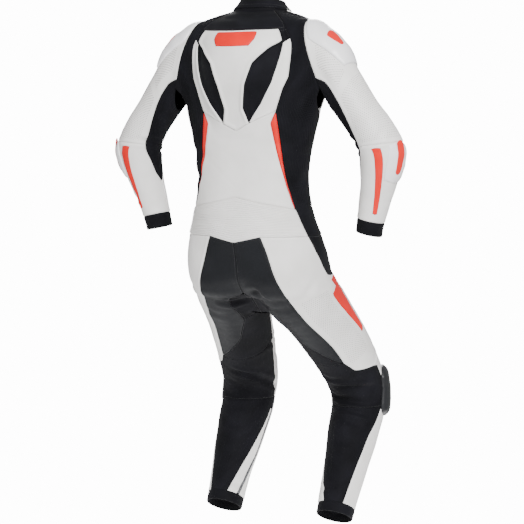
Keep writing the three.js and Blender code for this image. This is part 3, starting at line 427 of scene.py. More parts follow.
collar = {"height": 29, "frontDrop": 7, "lean": 0.5, "flare": 7, "sweep": 34, "opening": 4, "columns": 96}
softness = {"waves": 9, "shortest": 46, "longest": 150, "height": 1.1}  # slack of the leather between seams
rng = np.random.default_rng(11)
waveWays = rng.normal(size=(softness["waves"], 3))
waveWays /= np.linalg.norm(waveWays, axis=1)[:, None]
waveLengths = np.linspace(softness["shortest"], softness["longest"], softness["waves"])
wavePhases = rng.uniform(0, 2 * math.pi, (2, softness["waves"]))


def reliefAt(points, side, slack=1.0):
    height = np.zeros(len(points))
    for way, length, phase in zip(waveWays, waveLengths, wavePhases[0 if side == "l" else 1]):
        height += np.sin(points @ way * (2 * math.pi / length) + phase) * length / softness["longest"]
    height *= slack * softness["height"] / math.sqrt(softness["waves"])
    for line, depth, width in creaseLines[side]:
        reach = 4.5 * width
        near = np.where(((points > line.min(0) - reach) & (points < line.max(0) + reach)).all(1))[0]
        if len(near) == 0:
            continue
        start, step = line[:-1], np.diff(line, axis=0)
        q = points[near][:, None] - start[None]
        t = np.clip((q * step).sum(2) / (step ** 2).sum(1), 0, 1)
        gap = np.linalg.norm(q - t[..., None] * step, axis=2)
        best = gap.argmin(1)
        along = (best + t[np.arange(len(near)), best]) / len(step)
        d = gap[np.arange(len(near)), best] / width
        fade = np.sin(np.pi * np.clip(along, 0, 1)) ** 0.7
        height[near] += depth * fade * (0.55 * np.exp(-((d - 1.75) / 0.8) ** 2) - np.exp(-d ** 2))
    return height


def middleRelief(points, slack):  # a piece over the middle takes each side's relief, blended across 60 mm
    left, right = reliefAt(points, "l", slack), reliefAt(points * np.array([-1, 1, 1]), "r", slack)
    t = np.clip(points[:, 0] / 60 + 0.5, 0, 1)
    return right + (left - right) * t * t * (3 - 2 * t)


print("form: body and creases ready")


def hexColour(text):
    channels = [int(text[i:i + 2], 16) / 255 for i in (0, 2, 4)]
    return [*(c / 12.92 if c < 0.04045 else ((c + 0.055) / 1.055) ** 2.4 for c in channels), 1.0]


def addNode(tree, kind, links=(), **settings):
    node = tree.nodes.new(kind)
    inputs = settings.pop("inputs", {})
    for key, value in settings.items():
        setattr(node, key, value)
    for key, value in inputs.items():
        node.inputs[key].default_value = value
    for socket, source in links:
        tree.links.new(source, node.inputs[socket])
    return node


def newMaterial(name, **shader):
    material = bpy.data.materials.new(name)
    material.use_nodes = True
    tree = material.node_tree
    surface = tree.nodes["Principled BSDF"]
    for key, value in shader.items():
        surface.inputs[key].default_value = value
    return material, tree, surface


def noiseOn(tree, vector, scale, detail=3.0, roughness=0.5):
    return addNode(tree, "ShaderNodeTexNoise", [("Vector", vector)],
                   inputs={"Scale": scale, "Detail": detail, "Roughness": roughness}).outputs["Fac"]


def rampOn(tree, factor, stops):
    ramp = addNode(tree, "ShaderNodeValToRGB", [("Fac", factor)])
    ramp.color_ramp.elements[0].position, ramp.color_ramp.elements[0].color = stops[0]
    ramp.color_ramp.elements[1].position, ramp.color_ramp.elements[1].color = stops[-1]
    for position, colour in stops[1:-1]:
        ramp.color_ramp.elements.new(position).color = colour
    return ramp.outputs["Color"]


def bumpOn(tree, surface, height, strength, distance, under=None):
    links = [("Height", height)] + ([("Normal", under)] if under else [])
    bump = addNode(tree, "ShaderNodeBump", links, inputs={"Strength": strength, "Distance": distance})
    tree.links.new(bump.outputs["Normal"], surface.inputs["Normal"])
    return bump.outputs["Normal"]


def leather(name, colour, worn, roughness, grain=1.1, coat=0.0, shine=0.5):
    # Full-grain hide: pebbled skin about a millimetre across, pores between, faintly uneven dye
    material, tree, surface = newMaterial(name, **{
        "IOR": 1.5, "Coat Weight": coat, "Coat Roughness": 0.3, "Specular IOR Level": shine})
    at = addNode(tree, "ShaderNodeTexCoord").outputs["Object"]
    patch = noiseOn(tree, at, 14.0)
    tone = rampOn(tree, patch, [(0.3, hexColour(worn)), (0.62, hexColour(colour))])
    tree.links.new(tone, surface.inputs["Base Color"])
    rough = addNode(tree, "ShaderNodeMapRange", [("Value", noiseOn(tree, at, 60.0))],
                    inputs={"To Min": roughness - 0.07, "To Max": roughness + 0.08})
    tree.links.new(rough.outputs["Result"], surface.inputs["Roughness"])
    pebbles = addNode(tree, "ShaderNodeTexVoronoi", [("Vector", at)], inputs={"Scale": 1000 / grain / 1.6})
    slack = bumpOn(tree, surface, noiseOn(tree, at, 55.0, 4.0), 0.35, 0.0012)
    bumpOn(tree, surface, pebbles.outputs["Distance"], 0.3, 0.0003, slack)
    return material


def knit(name, colour, light, pitch=2.4):
    # Ribbed stretch knit: loops in columns, a matt nap that lightens at grazing angles
    material, tree, surface = newMaterial(name, **{
        "Roughness": 0.75, "Sheen Weight": 0.02, "Sheen Roughness": 0.5, "Specular IOR Level": 0.08})
    at = addNode(tree, "ShaderNodeUVMap", uv_map="cut").outputs["UV"]
    wave = addNode(tree, "ShaderNodeTexWave", [("Vector", at)], bands_direction="X",
                   inputs={"Scale": 1000 / pitch / 20, "Distortion": 0.4, "Detail": 1.0, "Detail Scale": 2.0})
    loops = addNode(tree, "ShaderNodeMath", [(0, wave.outputs["Fac"]), (1, noiseOn(tree, at, 900.0))],
                    operation="MULTIPLY").outputs[0]
    tone = rampOn(tree, noiseOn(tree, at, 11.0), [(0.3, hexColour(colour)), (0.7, hexColour(light))])
    tree.links.new(tone, surface.inputs["Base Color"])
    bumpOn(tree, surface, loops, 0.15, 0.0004)
    return material


def moulded(name, colour, roughness, sparkle=320.0):
    # Injection-moulded thermoplastic: even colour, fine spark-eroded texture, soft gloss. The grey punched-hole finish
    # made here is painted shade: a flat grey disc standing in for the dark depth of each hole.
    material, tree, surface = newMaterial(name, **{"IOR": 1.49, "Base Color": hexColour(colour)})
    at = addNode(tree, "ShaderNodeTexCoord").outputs["Object"]
    rough = addNode(tree, "ShaderNodeMapRange", [("Value", noiseOn(tree, at, 90.0))],
                    inputs={"To Min": roughness - 0.05, "To Max": roughness + 0.08})
    tree.links.new(rough.outputs["Result"], surface.inputs["Roughness"])
    bumpOn(tree, surface, noiseOn(tree, at, sparkle, 2.0), 0.12, 0.0004)
    return material


def metalFinish(name, colour, roughness):
    # Nickel-plated zinc die casting, tumbled: bright with fine random scratches
    material, tree, surface = newMaterial(name, **{"Metallic": 1.0, "Base Color": hexColour(colour)})
    at = addNode(tree, "ShaderNodeTexCoord").outputs["Object"]
    rough = addNode(tree, "ShaderNodeMapRange", [("Value", noiseOn(tree, at, 900.0))],
                    inputs={"To Min": roughness - 0.08, "To Max": roughness + 0.12})
    tree.links.new(rough.outputs["Result"], surface.inputs["Roughness"])
    return material


def thread(name, colour, light):
    # Bonded polyester thread: satin, twisted
    material, tree, surface = newMaterial(name, **{"Roughness": 0.55, "Sheen Weight": 0.15})
    at = addNode(tree, "ShaderNodeTexCoord").outputs["Object"]
    tone = rampOn(tree, noiseOn(tree, at, 400.0), [(0.35, hexColour(colour)), (0.65, hexColour(light))])
    tree.links.new(tone, surface.inputs["Base Color"])
    return material


finishes = {
    "whiteLeather": leather("white_full_grain_leather", "e9e7e5", "e0dedb", 0.5),
    "blackLeather": leather("black_full_grain_leather", "18191c", "131417", 0.58, shine=0.13),
    "redLeather": leather("red_coated_leather", "e21208", "cf0d05", 0.45, shine=0.3),
    "stretch": knit("black_ribbed_stretch_knit", "08080b", "141419"),
    "liner": knit("black_mesh_liner", "141416", "26262a", 3.0),
    "whitePlastic": moulded("white_moulded_polyurethane", "eeedef", 0.32),
    "blackPlastic": moulded("black_moulded_polyurethane", "17181b", 0.38),
    "redPlastic": moulded("red_moulded_polyurethane", "dd140a", 0.35),
    "zipMetal": metalFinish("nickel_plated_zinc", "b9bbc0", 0.3),
    "zipTape": knit("black_woven_zip_tape", "101013", "222227", 0.9),
    "whiteThread": thread("white_polyester_thread", "d9d7d4", "f2f1ef"),
    "blackThread": thread("black_polyester_thread", "0c0c0e", "1e1e22"),
    # the grey of the punched holes is painted shade, standing in for the depth of each hole
    "hole": moulded("punched_hole_shadow", "6f6d6a", 0.9),
}
print("finishes ready")


def wallFaces(rows, cols):
    at = np.arange(2 * rows * cols).reshape(2, rows, cols)
    o, i = at[0], at[1]
    parts = [
        np.stack([o[:-1, :-1], o[:-1, 1:], o[1:, 1:], o[1:, :-1]], -1).reshape(-1, 4),
        np.stack([i[:-1, :-1], i[1:, :-1], i[1:, 1:], i[:-1, 1:]], -1).reshape(-1, 4),
        np.stack([o[0, :-1], i[0, :-1], i[0, 1:], o[0, 1:]], -1),
        np.stack([o[-1, 1:], i[-1, 1:], i[-1, :-1], o[-1, :-1]], -1),
        np.stack([o[1:, 0], i[1:, 0], i[:-1, 0], o[:-1, 0]], -1),
        np.stack([o[:-1, -1], i[:-1, -1], i[1:, -1], o[1:, -1]], -1),
    ]
    return np.concatenate(parts), len(parts[0])


def makeWall(name, outer, inner, cut, finish, mirrored, attributes=None, liner=True):
    rows, cols = outer.shape[:2]
    faces, outerCount = wallFaces(rows, cols)
    points = np.concatenate([outer.reshape(-1, 3), inner.reshape(-1, 3)])
    if mirrored:
        points = points * np.array([-1, 1, 1])
        faces = faces[:, ::-1]
    mesh = bpy.data.meshes.new(name)
    mesh.from_pydata((points * metre).tolist(), [], faces.tolist())
    uv = mesh.uv_layers.new(name="cut")
    both = np.concatenate([cut.reshape(-1, 2), cut.reshape(-1, 2)]) * metre
    uv.data.foreach_set("uv", both[faces.ravel()].ravel())
    mesh.materials.append(finishes[finish])
    if liner:
        mesh.materials.append(finishes["liner"])
        index = np.zeros(len(faces), int)
        index[outerCount:2 * outerCount] = 1
        mesh.polygons.foreach_set("material_index", index)
    for key, (kind, values) in (attributes or {}).items():
        layer = mesh.attributes.new(key, kind, "POINT")
        slot = "vector" if kind == "FLOAT_VECTOR" else "value"
        layer.data.foreach_set(slot, np.ascontiguousarray(values).ravel())
    mesh.shade_smooth()
    mesh.set_sharp_from_angle(angle=math.radians(52))
    piece = bpy.data.objects.new(name, mesh)
    bpy.context.collection.objects.link(piece)
    return piece


def arcs(points):
    steps = np.linalg.norm(np.diff(points, axis=1), axis=2)
    return np.concatenate([np.zeros((len(points), 1)), np.cumsum(steps, axis=1)], 1)


# Panels: part of the body, its levels, its two seams, and what it is made of
panels = {
    "yoke_back": dict(domain="torso", levels=(0, 120), first=minus(stretchBack), last=stretchBack,
                      finish="stretch", hangs="collar", bands=True),
    "hump_centre": dict(domain="torso", levels=(120, 337.25), first=minus(recessInner), last=recessInner,
                        foot=humpFoot, finish="whiteLeather", hangs="yoke_back", rim=2.2),
    "hump_recess": dict(pair=True, domain="torso", levels=(120, 334), first=recessInner, last=recessOuter,
                        finish="stretch", hangs="yoke_back", sink=5),
    "hump_side": dict(pair=True, domain="torso", levels=(150, 334), first=recessOuter, last=humpOuter,
                      top=sideTop, finish="whiteLeather", hangs="yoke_back", rim=1.2),
    "red_stripe": dict(pair=True, domain="torso", levels=(312, 548), first=stripeBack, last=stretchBack,
                       finish="redLeather", hangs="hump_side"),
    "back_lower": dict(domain="torso", levels=(306, 552), first=minus(stripeBack), last=stripeBack,
                       top=humpFoot, foot=lumbarTop, finish="whiteLeather", hangs="hump_centre", vSeam=True),
    "back_lumbar": dict(domain="torso", levels=(552, hipLevel), first=minus(stretchBack), last=stretchBack,
                        top=lumbarTop, foot=lumbarFoot, finish="whiteLeather", hangs="back_lower",
                        ribs="across", ribCount=20, ribHeight=2.5),
    "back_stretch": dict(pair=True, domain="torso", levels=(0, hipLevel), first=stretchBack,
                         last=stretchFront, finish="stretch", hangs="collar", ribs="along", ribPitch=8.0, ribHeight=1.5,
                         turnLevel=548),
    "front_chest": dict(pair=True, domain="torso", levels=(0, hipLevel), first=chestBack, last=constant(176),
                        finish="whiteLeather", hangs="collar"),
    "front_zip": dict(domain="torso", levels=(0, hipLevel), first=constant(176), last=constant(184),
                      finish="zipTape", hangs="collar", stitched=False),
    "sleeve_upper": dict(pair=True, domain="sleeve", levels=(0, 366), first=sleeveBack,
                         last=plus(sleeveFront, 360), finish="whiteLeather", hangs="back_stretch"),
    "sleeve_inner": dict(pair=True, domain="sleeve", levels=(0, 492), first=sleeveFront, last=sleeveBack,
                         finish="stretch", hangs="back_stretch", ribs="along", ribPitch=8.0, ribHeight=1.0),
    "sleeve_lower": dict(pair=True, domain="sleeve", levels=(366, 577), first=sleeveBack,
                         last=plus(sleeveFront, 360), finish="whiteLeather", hangs="sleeve_upper"),
    "sleeve_cuff": dict(pair=True, domain="sleeve", levels=(577, 612), first=constant(-90),
                        last=constant(270), finish="stretch", hangs="sleeve_lower", stitched=False),
    "seat": dict(pair=True, domain="leg", levels=(-2, 428), first=seatInner, last=seatOuter, top=seatTop,
                 finish="blackLeather", hangs="back_lumbar"),
    "hip": dict(pair=True, domain="leg", levels=(-2, 504), first=seatOuter, last=hipFront,
                finish="whiteLeather", hangs="back_stretch"),
    "hip_front": dict(pair=True, domain="leg", levels=(-2, crotchLevel), first=hipFront, last=frontMiddle,
                      finish="stretch", hangs="front_chest"),
    "crotch_stretch": dict(pair=True, domain="leg", levels=(122, crotchLevel), first=backMiddle,
                           last=seatInnerLow, finish="stretch", hangs="seat"),
    "inner_thigh": dict(pair=True, domain="leg", levels=(crotchLevel, 432), first=innerFront,
                        last=seatInnerLow, finish="stretch", hangs="crotch_stretch"),
    "knee_back": dict(pair=True, domain="leg", levels=(432, 640), first=innerFront, last=kneeOuter,
                      finish="stretch", hangs="inner_thigh"),
    "knee_front": dict(pair=True, domain="leg", levels=(504, 640), first=calfOuter,
                       last=plus(innerFront, 360), finish="whiteLeather", hangs="hip"),
    "calf": dict(pair=True, domain="leg", levels=(640, 942), first=calfInner, last=calfOuter,
                 finish="stretch", hangs="knee_back", ribs="band", ribPitch=6.0, ribHeight=1.2, bandWidth=34),
    "calf_strip": dict(pair=True, domain="leg", levels=(672, 942), first=zipBack, last=calfInner,
                       finish="whiteLeather", hangs="calf"),
    "leg_zip": dict(pair=True, domain="leg", levels=(640, 942), first=plus(zipBack, -9), last=zipBack,
                    finish="zipTape", hangs="knee_back", stitched=False),
    "shin": dict(pair=True, domain="leg", levels=(640, 942), first=calfOuter, last=plus(zipBack, 351),
                 finish="whiteLeather", hangs="knee_front"),
    "leg_cuff": dict(pair=True, domain="leg", levels=(942, 970), first=constant(-95), last=constant(265),
                     finish="stretch", hangs="shin", stitched=False),
}
cloth = {"spacing": 5.5, "wall": 2.2, "gap": 0.12, "edgeSteps": (1.2, 3.0, 6.0), "seamDip": 1.5,
         "seamWidth": 1.4, "puff": 0.7, "puffAt": 5.5, "puffWidth": 3.6, "topFade": 40}


def stepsBetween(length, spacing, edges):
    count = max(int(round(length / spacing)), 2)
    inner = [x for x in np.linspace(0, length, count + 1) if edges[-1] * 1.4 < x < length - edges[-1] * 1.4]
    near = [x for x in edges if x < length * 0.3]
    return np.unique([0, *near, *inner, *(length - x for x in near), length]) / length


def panelGrid(panel):
    start, end = panel["levels"]
    domain, first, last = panel["domain"], panel["first"], panel["last"]
    levels = np.linspace(start, end, 9)[:, None]
    a = np.linspace(0, 1, 13)[None]
    turns = first(levels) + (last(levels) - first(levels)) * a
    rough = placeOn(domain, levels + turns * 0, turns)
    width = arcs(rough)[:, -1].max()
    length = arcs(rough.transpose(1, 0, 2))[:, -1].max()
    spacing = panel.get("spacing", cloth["spacing"])
    aSteps = stepsBetween(width, spacing, cloth["edgeSteps"])
    bSteps = stepsBetween(length, spacing, cloth["edgeSteps"])
    if panel.get("ribs") == "along":
        ribs = max(int(round(width / panel["ribPitch"])), 3)
        aSteps = np.linspace(0, 1, ribs * 4 + 1)
        bSteps = stepsBetween(length, 9, cloth["edgeSteps"])
        if "turnLevel" in panel:
            turnShare = (panel["turnLevel"] - start) / (end - start)
            low = np.linspace(turnShare, 1, 36)
            bSteps = np.concatenate([bSteps[bSteps < turnShare - 0.006], low])
    if panel.get("ribs") == "across":
        bSteps = np.linspace(0, 1, panel["ribCount"] * 4 + 1)
        aSteps = stepsBetween(width, 7, cloth["edgeSteps"])
    upper, lower = np.zeros(len(aSteps)), np.zeros(len(aSteps))
    for key, base, shift in (("top", start, upper), ("foot", end, lower)):
        if key not in panel:
            continue
        level = np.full(len(aSteps), float(base))
        for _ in range(10):
            turn = first(level) + (last(level) - first(level)) * aSteps
            level = panel[key](turn, placeOn(domain, level, turn))
        shift += level - base
    b = bSteps[:, None]
    level = start + (end - start) * b
    rising = np.abs(upper).max() > 20
    fade = 1 - b if rising else np.maximum(1 - (level - start) / cloth["topFade"], 0)
    level = level + upper[None] * fade + lower[None] * b
    turn = first(level) + (last(level) - first(level)) * aSteps[None]
    points = placeOn(domain, level, turn)
    return points, level, turn, aSteps, bSteps


def insetEdges(points, gap):
    for edge, inner in (((slice(None), 0), (slice(None), 1)), ((slice(None), -1), (slice(None), -2)),
                        ((0,), (1,)), ((-1,), (-2,))):
        way = points[inner] - points[edge]
        size = np.linalg.norm(way, axis=-1, keepdims=True)
        points[edge] += way / np.maximum(size, 1e-6) * np.minimum(gap, size * 0.3)
    return points


def edgeReach(points):
    across, down = arcs(points), arcs(points.transpose(1, 0, 2)).T
    wide, tall = across[:, -1:], down[-1:]
    near = np.minimum(np.minimum(across, wide - across), np.minimum(down, tall - down))
    return across, down, near


def ribPlaces(panel, points, level, aSteps, bSteps):
    place, mask = np.zeros(level.shape), np.zeros(level.shape)
    rows, cols = level.shape
    if panel["ribs"] == "along":
        place[:] = np.arange(cols)[None] / 4
        mask[:, 1:-1] = 1
        if "turnLevel" in panel:
            low = level >= panel["turnLevel"] - 1
            place = np.where(low, (level - panel["turnLevel"]) / panel["ribPitch"], place)
            mask *= np.clip(np.abs(level - panel["turnLevel"]) / 6, 0, 1)
        mask *= np.clip((level - panel["levels"][0] - 4) / 10, 0, 1)
    elif panel["ribs"] == "across":
        place[:] = np.arange(rows)[:, None] / 4
        mask[:, 2:-2] = 1
    else:
        across = arcs(points)
        place = (across - across[:, -1:] / 2) / panel["ribPitch"] + 0.5
        half = np.minimum(panel["bandWidth"] / 2, across[:, -1:] * 0.3)
        mask = np.clip((half - np.abs(across - across[:, -1:] / 2)) / 3 + 0.5, 0, 1)
        mask = mask * np.clip((level - 660) / 12, 0, 1) * np.clip((930 - level) / 12, 0, 1)
    return place, mask


def nodeTree(name, sockets):
    tree = bpy.data.node_groups.new(name, "GeometryNodeTree")
    tree.interface.new_socket("Geometry", in_out="INPUT", socket_type="NodeSocketGeometry")
    for label, kind, value in sockets:
        socket = tree.interface.new_socket(label, in_out="INPUT", socket_type=kind)
        if value is not None:
            socket.default_value = value
    tree.interface.new_socket("Geometry", in_out="OUTPUT", socket_type="NodeSocketGeometry")
    return tree, tree.nodes.new("NodeGroupInput"), tree.nodes.new("NodeGroupOutput")


def attributeIn(tree, name, kind):
    named = addNode(tree, "GeometryNodeInputNamedAttribute", data_type=kind, inputs={"Name": name})
    return named.outputs["Attribute"]


def maths(tree, operation, *terms):
    node = addNode(tree, "ShaderNodeMath", operation=operation)
    for i, term in enumerate(terms):
        if isinstance(term, (int, float)):
            node.inputs[i].default_value = term
        else:
            tree.links.new(term, node.inputs[i])
    return node.outputs[0]


def ribTree():
    tree, given, result = nodeTree("raised_ribs", [
        ("Height", "NodeSocketFloat", 0.001), ("Face", "NodeSocketMaterial", None),
        ("Back", "NodeSocketMaterial", None)])
    place = maths(tree, "FRACT", attributeIn(tree, "ribPlace", "FLOAT"))
    fromMiddle = maths(tree, "SUBTRACT", maths(tree, "MULTIPLY", place, 2.0), 1.0)
    fall = maths(tree, "POWER", maths(tree, "ABSOLUTE", fromMiddle), 2.2)
    crown = maths(tree, "SQRT", maths(tree, "MAXIMUM", maths(tree, "SUBTRACT", 1.0, fall), 0.0))
    kept = maths(tree, "MULTIPLY", crown, attributeIn(tree, "ribMask", "FLOAT"))
    lift = maths(tree, "MULTIPLY", kept, given.outputs["Height"])
    outward = attributeIn(tree, "outward", "FLOAT_VECTOR")
    out = addNode(tree, "ShaderNodeVectorMath", [(0, outward), ("Scale", lift)], operation="SCALE")
    moved = addNode(tree, "GeometryNodeSetPosition",
                    [("Geometry", given.outputs["Geometry"]), ("Offset", out.outputs[0])])
    real = addNode(tree, "GeometryNodeRealizeInstances", [("Geometry", moved.outputs[0])])
    face = addNode(tree, "GeometryNodeSetMaterial",
                   [("Geometry", real.outputs[0]), ("Material", given.outputs["Face"])])
    isBack = attributeIn(tree, "liningSide", "BOOLEAN")
    back = addNode(tree, "GeometryNodeSetMaterial", [("Geometry", face.outputs[0]), ("Selection", isBack),
                                                     ("Material", given.outputs["Back"])])
    tree.links.new(back.outputs[0], result.inputs["Geometry"])
    return tree


def runTree(piece, tree, values):
    modifier = piece.modifiers.new(tree.name, "NODES")
    modifier.node_group = tree
    ids = {item.name: item.identifier for item in tree.interface.items_tree if item.in_out == "INPUT"}
    for key, value in values.items():
        modifier[ids[key]] = value
    graph = bpy.context.evaluated_depsgraph_get()
    mesh = bpy.data.meshes.new_from_object(piece.evaluated_get(graph))
    piece.modifiers.remove(modifier)
    piece.data = mesh
    return piece


raisedRibs = ribTree()
stitchLines = {"whiteThread": [], "blackThread": []}
grids = {}


def settle(piece, node=None):
    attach(piece, "suit")
    if node:
        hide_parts(node)


def keepStitches(colour, points, normals, mirrored):
    way = np.array([-1, 1, 1]) if mirrored else 1
    stitchLines[colour].append((points * way, normals * way))


def buildPanel(name, panel):
    base, level, turn, aSteps, bSteps = panelGrid(panel)
    if panel["domain"] == "leg":
        base[..., 0] = np.maximum(base[..., 0], 0.1)
    base = insetEdges(base, cloth["gap"])
    normal = surfaceNormal(base.reshape(-1, 3)).reshape(base.shape)
    across, down, near = edgeReach(base)
    isStretch = panel["finish"] in ("stretch", "zipTape")
    dip = cloth["seamDip"] * (0.6 if isStretch else 1)
    edge = -dip * np.exp(-(near / cloth["seamWidth"]) ** 2)
    puff = cloth["puff"] * (0.4 if isStretch else 1)
    edge += puff * np.exp(-((near - cloth["puffAt"]) / cloth["puffWidth"]) ** 2)
    if "sink" in panel:
        edge -= panel["sink"] * np.clip(near / 7, 0, 1) ** 0.7
    if "rim" in panel:
        edge += panel["rim"] * np.exp(-((near - 4) / 6) ** 2)
    if panel.get("bands"):  # faint lines of the yoke's joined strips
        for at in (36, 74):
            edge -= 0.9 * np.exp(-((level - at - np.abs(turn) * 0.12) / 1.8) ** 2)
    if panel["domain"] == "torso" and panel["levels"][0] == 0:  # the neck sweeps up into the collar
        edge += collar["flare"] * np.clip(1 - level / collar["sweep"], 0, 1) ** 2
    if panel.get("vSeam"):  # faint V-shaped seam above the lumbar panel
        edge -= 0.9 * np.exp(-((level - 500 + np.abs(turn) * 1.6) / 2.0) ** 2) * (np.abs(turn) < 44)
    sides = ("l", "r") if panel.get("pair") else ("",)
    for side in sides:
        flat = base.reshape(-1, 3)
        if side:
            relief = reliefAt(flat, side, 0.5 if isStretch else 1.0)
        else:
            relief = middleRelief(flat, 0.5 if isStretch else 1.0)
        height = edge + relief.reshape(level.shape)
        outer = base + normal * height[..., None]
        inner = base + normal * (height - cloth["wall"])[..., None]
        cut = np.stack([across, down], -1)
        attributes = None
        mirrored = side == "r"
        if "ribs" in panel:
            place, mask = ribPlaces(panel, base, level, aSteps, bSteps)
            zero = np.zeros(level.size)
            outward = normal.reshape(-1, 3) * (np.array([-1, 1, 1]) if mirrored else 1)
            attributes = {
                "ribPlace": ("FLOAT", np.concatenate([place.ravel() + 1e-6, zero])),
                "ribMask": ("FLOAT", np.concatenate([mask.ravel(), zero])),
                "outward": ("FLOAT_VECTOR", np.concatenate([outward, outward])),
                "liningSide": ("BOOLEAN", np.concatenate([zero, zero + 1]).astype(bool)),
            }
        fullName = f"{name}_{side}" if side else name
        piece = makeWall(f"cut_{fullName}", outer, inner, cut, panel["finish"], mirrored, attributes)
        if attributes:
            runTree(piece, raisedRibs, {"Height": panel["ribHeight"] * metre,
                                        "Face": finishes[panel["finish"]], "Back": finishes["liner"]})
            for key in attributes:
                piece.data.attributes.remove(piece.data.attributes[key])
        settle(piece, fullName)
        grids[fullName] = dict(piece=piece, outer=outer, normal=normal, level=level, turn=turn)
        if panel.get("stitched", True) and "ribs" not in panel:
            colour = "whiteThread" if panel["finish"] == "whiteLeather" else "blackThread"
            for lane in ((slice(2, -2), 2), (slice(2, -2), -3), (2, slice(2, -2)), (-3, slice(2, -2))):
                if len(outer[lane]) > 3:
                    keepStitches(colour, outer[lane] + normal[lane] * 0.15, normal[lane], mirrored)
        width, length = across[:, -1].max() * metre, down[-1].max() * metre
        quads = np.cross(base[1:, 1:] - base[:-1, :-1], base[1:, :-1] - base[:-1, 1:])
        area = np.linalg.norm(quads, axis=2).sum() / 2 * metre * metre
        area = min(max(area, 0.31 * width * length), width * length)


for panelName, panelFacts in panels.items():
    buildPanel(panelName, panelFacts)
print("panels cut:", len(grids))

# Collar: padded band on the neck seam with a rolled rim, open at the front over the zip
profile = [(0.0, 0.0), (0.9, 0.12), (1.3, 0.3), (1.1, 0.5), (0.9, 0.7), (0.9, 0.88), (0.4, 0.965),
           (-0.7, 1.0), (-1.9, 0.985), (-2.5, 0.93), (-2.7, 0.8), (-2.6, 0.5), (-2.4, 0.0)]


def buildCollar():
    turns = np.linspace(collar["opening"] - 180, 180 - collar["opening"], collar["columns"] + 1)
    base = placeOn("torso", 0.0, turns)
    out = np.stack([np.sin(np.radians(turns)), np.cos(np.radians(turns)), turns * 0], 1)
    tall = collar["height"] - collar["frontDrop"] * (1 - np.cos(np.radians(turns))) / 2
    rings = []
    for off, rise in profile:
        ripple = 0.35 * np.sin(np.radians(turns) * 7 + 1.3) * (0.3 < rise < 0.9)
        flare = collar["flare"] * (1 - rise) ** 3
        ring = base + out * (off + ripple + flare - tall * rise * collar["lean"])[:, None]
        ring[:, 2] += 0.6 + tall * rise
        rings.append(ring)
    rings = np.array(rings)
    rows, cols = rings.shape[:2]
    at = np.arange(rows * cols).reshape(rows, cols)
    following = np.roll(at, -1, axis=0)
    quads = np.stack([at[:, :-1], following[:, :-1], following[:, 1:], at[:, 1:]], -1).reshape(-1, 4)
    faces = quads[:, ::-1].tolist()
    faces += [at[::-1, 0].tolist()[::-1], at[:, -1].tolist()[::-1]]
    mesh = bpy.data.meshes.new("cut_collar")
    mesh.from_pydata((rings.reshape(-1, 3) * metre).tolist(), [], faces)
    uv = mesh.uv_layers.new(name="cut")
    girth = np.concatenate([[0], np.cumsum(np.linalg.norm(np.diff(base, axis=0), axis=1))])
    places = np.stack([np.tile(girth, rows), np.repeat(np.arange(rows) * 4.0, cols)], 1) * metre
    loops = np.zeros(len(mesh.loops), int)
    mesh.loops.foreach_get("vertex_index", loops)
    uv.data.foreach_set("uv", places[loops].ravel())
    mesh.materials.append(finishes["stretch"])
    mesh.shade_smooth()
    mesh.set_sharp_from_angle(angle=math.radians(60))
    piece = bpy.data.objects.new("cut_collar", mesh)
    bpy.context.collection.objects.link(piece)
    settle(piece, "collar")
    for row in (2, 5):
        keepStitches("blackThread", rings[row] + out * 0.2, out, False)


buildCollar()

def overSleeve(a):
    return share(sleeveBack, plus(sleeveFront, 360), a)


# Guards and inlays: shaped pieces that lie on the leather
guards = {
    "shoulder_cup": dict(domain="sleeve", levels=(2, 150), first=overSleeve(0.3), last=overSleeve(0.7),
                         finish="whitePlastic",
                         edge=3, thick=9, bevel=5, dome=34, corner=0.55, spacing=4),
    "elbow_guard": dict(domain="sleeve", levels=(366, 470), first=overSleeve(0.3), last=overSleeve(0.6),
                        finish="whitePlastic",
                        edge=2.4, thick=7, bevel=4, dome=30, corner=0.45, spacing=4),
    "knee_cup": dict(domain="leg", levels=(535, 640), first=share(kneeGuardFrom, kneeGuardTo, 0.5),
                     last=share(kneeGuardFrom, kneeGuardTo, 0.875), finish="whitePlastic",
                     edge=2.4, thick=6, bevel=4, dome=30, corner=0.6, spacing=4),
    "knee_slider": dict(domain="leg", levels=(548, 668),
                        first=seam((548, 92), (588, 91), (636, 80), (668, 78)),
                        last=seam((548, 146), (600, 152), (668, 146)), finish="blackPlastic",
                        edge=5, thick=15, bevel=6, dome=26, corner=0.7, spacing=4),
}
inlays = {
    "hump_badge": dict(domain="torso", levels=(121, 157), first=seam((120, -26.5), (142, -23), (157, -18)),
                       last=seam((120, 25.5), (142, 23), (157, 18)), finish="redLeather",
                       single=True, liesOn="hump_centre",
                       edge=1.4, thick=2.2, bevel=1.8, dome=8, corner=0.14, spacing=4),
    "forearm_flash": dict(domain="sleeve", levels=(376, 556), first=seam((376, -2), (556, 20)),
                          last=seam((376, 20), (556, 36)), finish="redLeather", liesOn="sleeve_lower",
                          edge=0.7, thick=1.0, bevel=1.2, dome=6, corner=0.1, spacing=5),
    "thigh_flash": dict(domain="leg", levels=(176, 396), first=seam((176, 92), (396, 103)),
                        last=seam((176, 126), (396, 116)), finish="redLeather", liesOn="hip",
                        edge=0.7, thick=1.0, bevel=1.2, dome=6, corner=0.1, spacing=5),
    "hip_flash": dict(domain="leg", levels=(138, 186), first=seam((138, 104), (186, 112)),
                      last=seam((138, 118), (160, 138), (186, 166)), finish="redLeather", liesOn="hip",
                      edge=0.7, thick=1.0, bevel=1.2, dome=6, corner=0.1, spacing=4),
    "elbow_flash": dict(domain="sleeve", levels=(362, 446), first=seam((362, 60), (446, 56)),
                        last=seam((362, 84), (446, 74)), finish="redPlastic", over=7.6,
                        edge=0.6, thick=0.8, bevel=1.0, dome=6, corner=0.5, spacing=4),
    "shoulder_flash": dict(domain="sleeve", levels=(66, 108), first=seam((66, 66), (108, 74)),
                           last=seam((66, 88), (108, 84)), finish="redPlastic", over=9.4,
                           edge=0.6, thick=0.8, bevel=1.0, dome=6, corner=0.5, spacing=4),
}


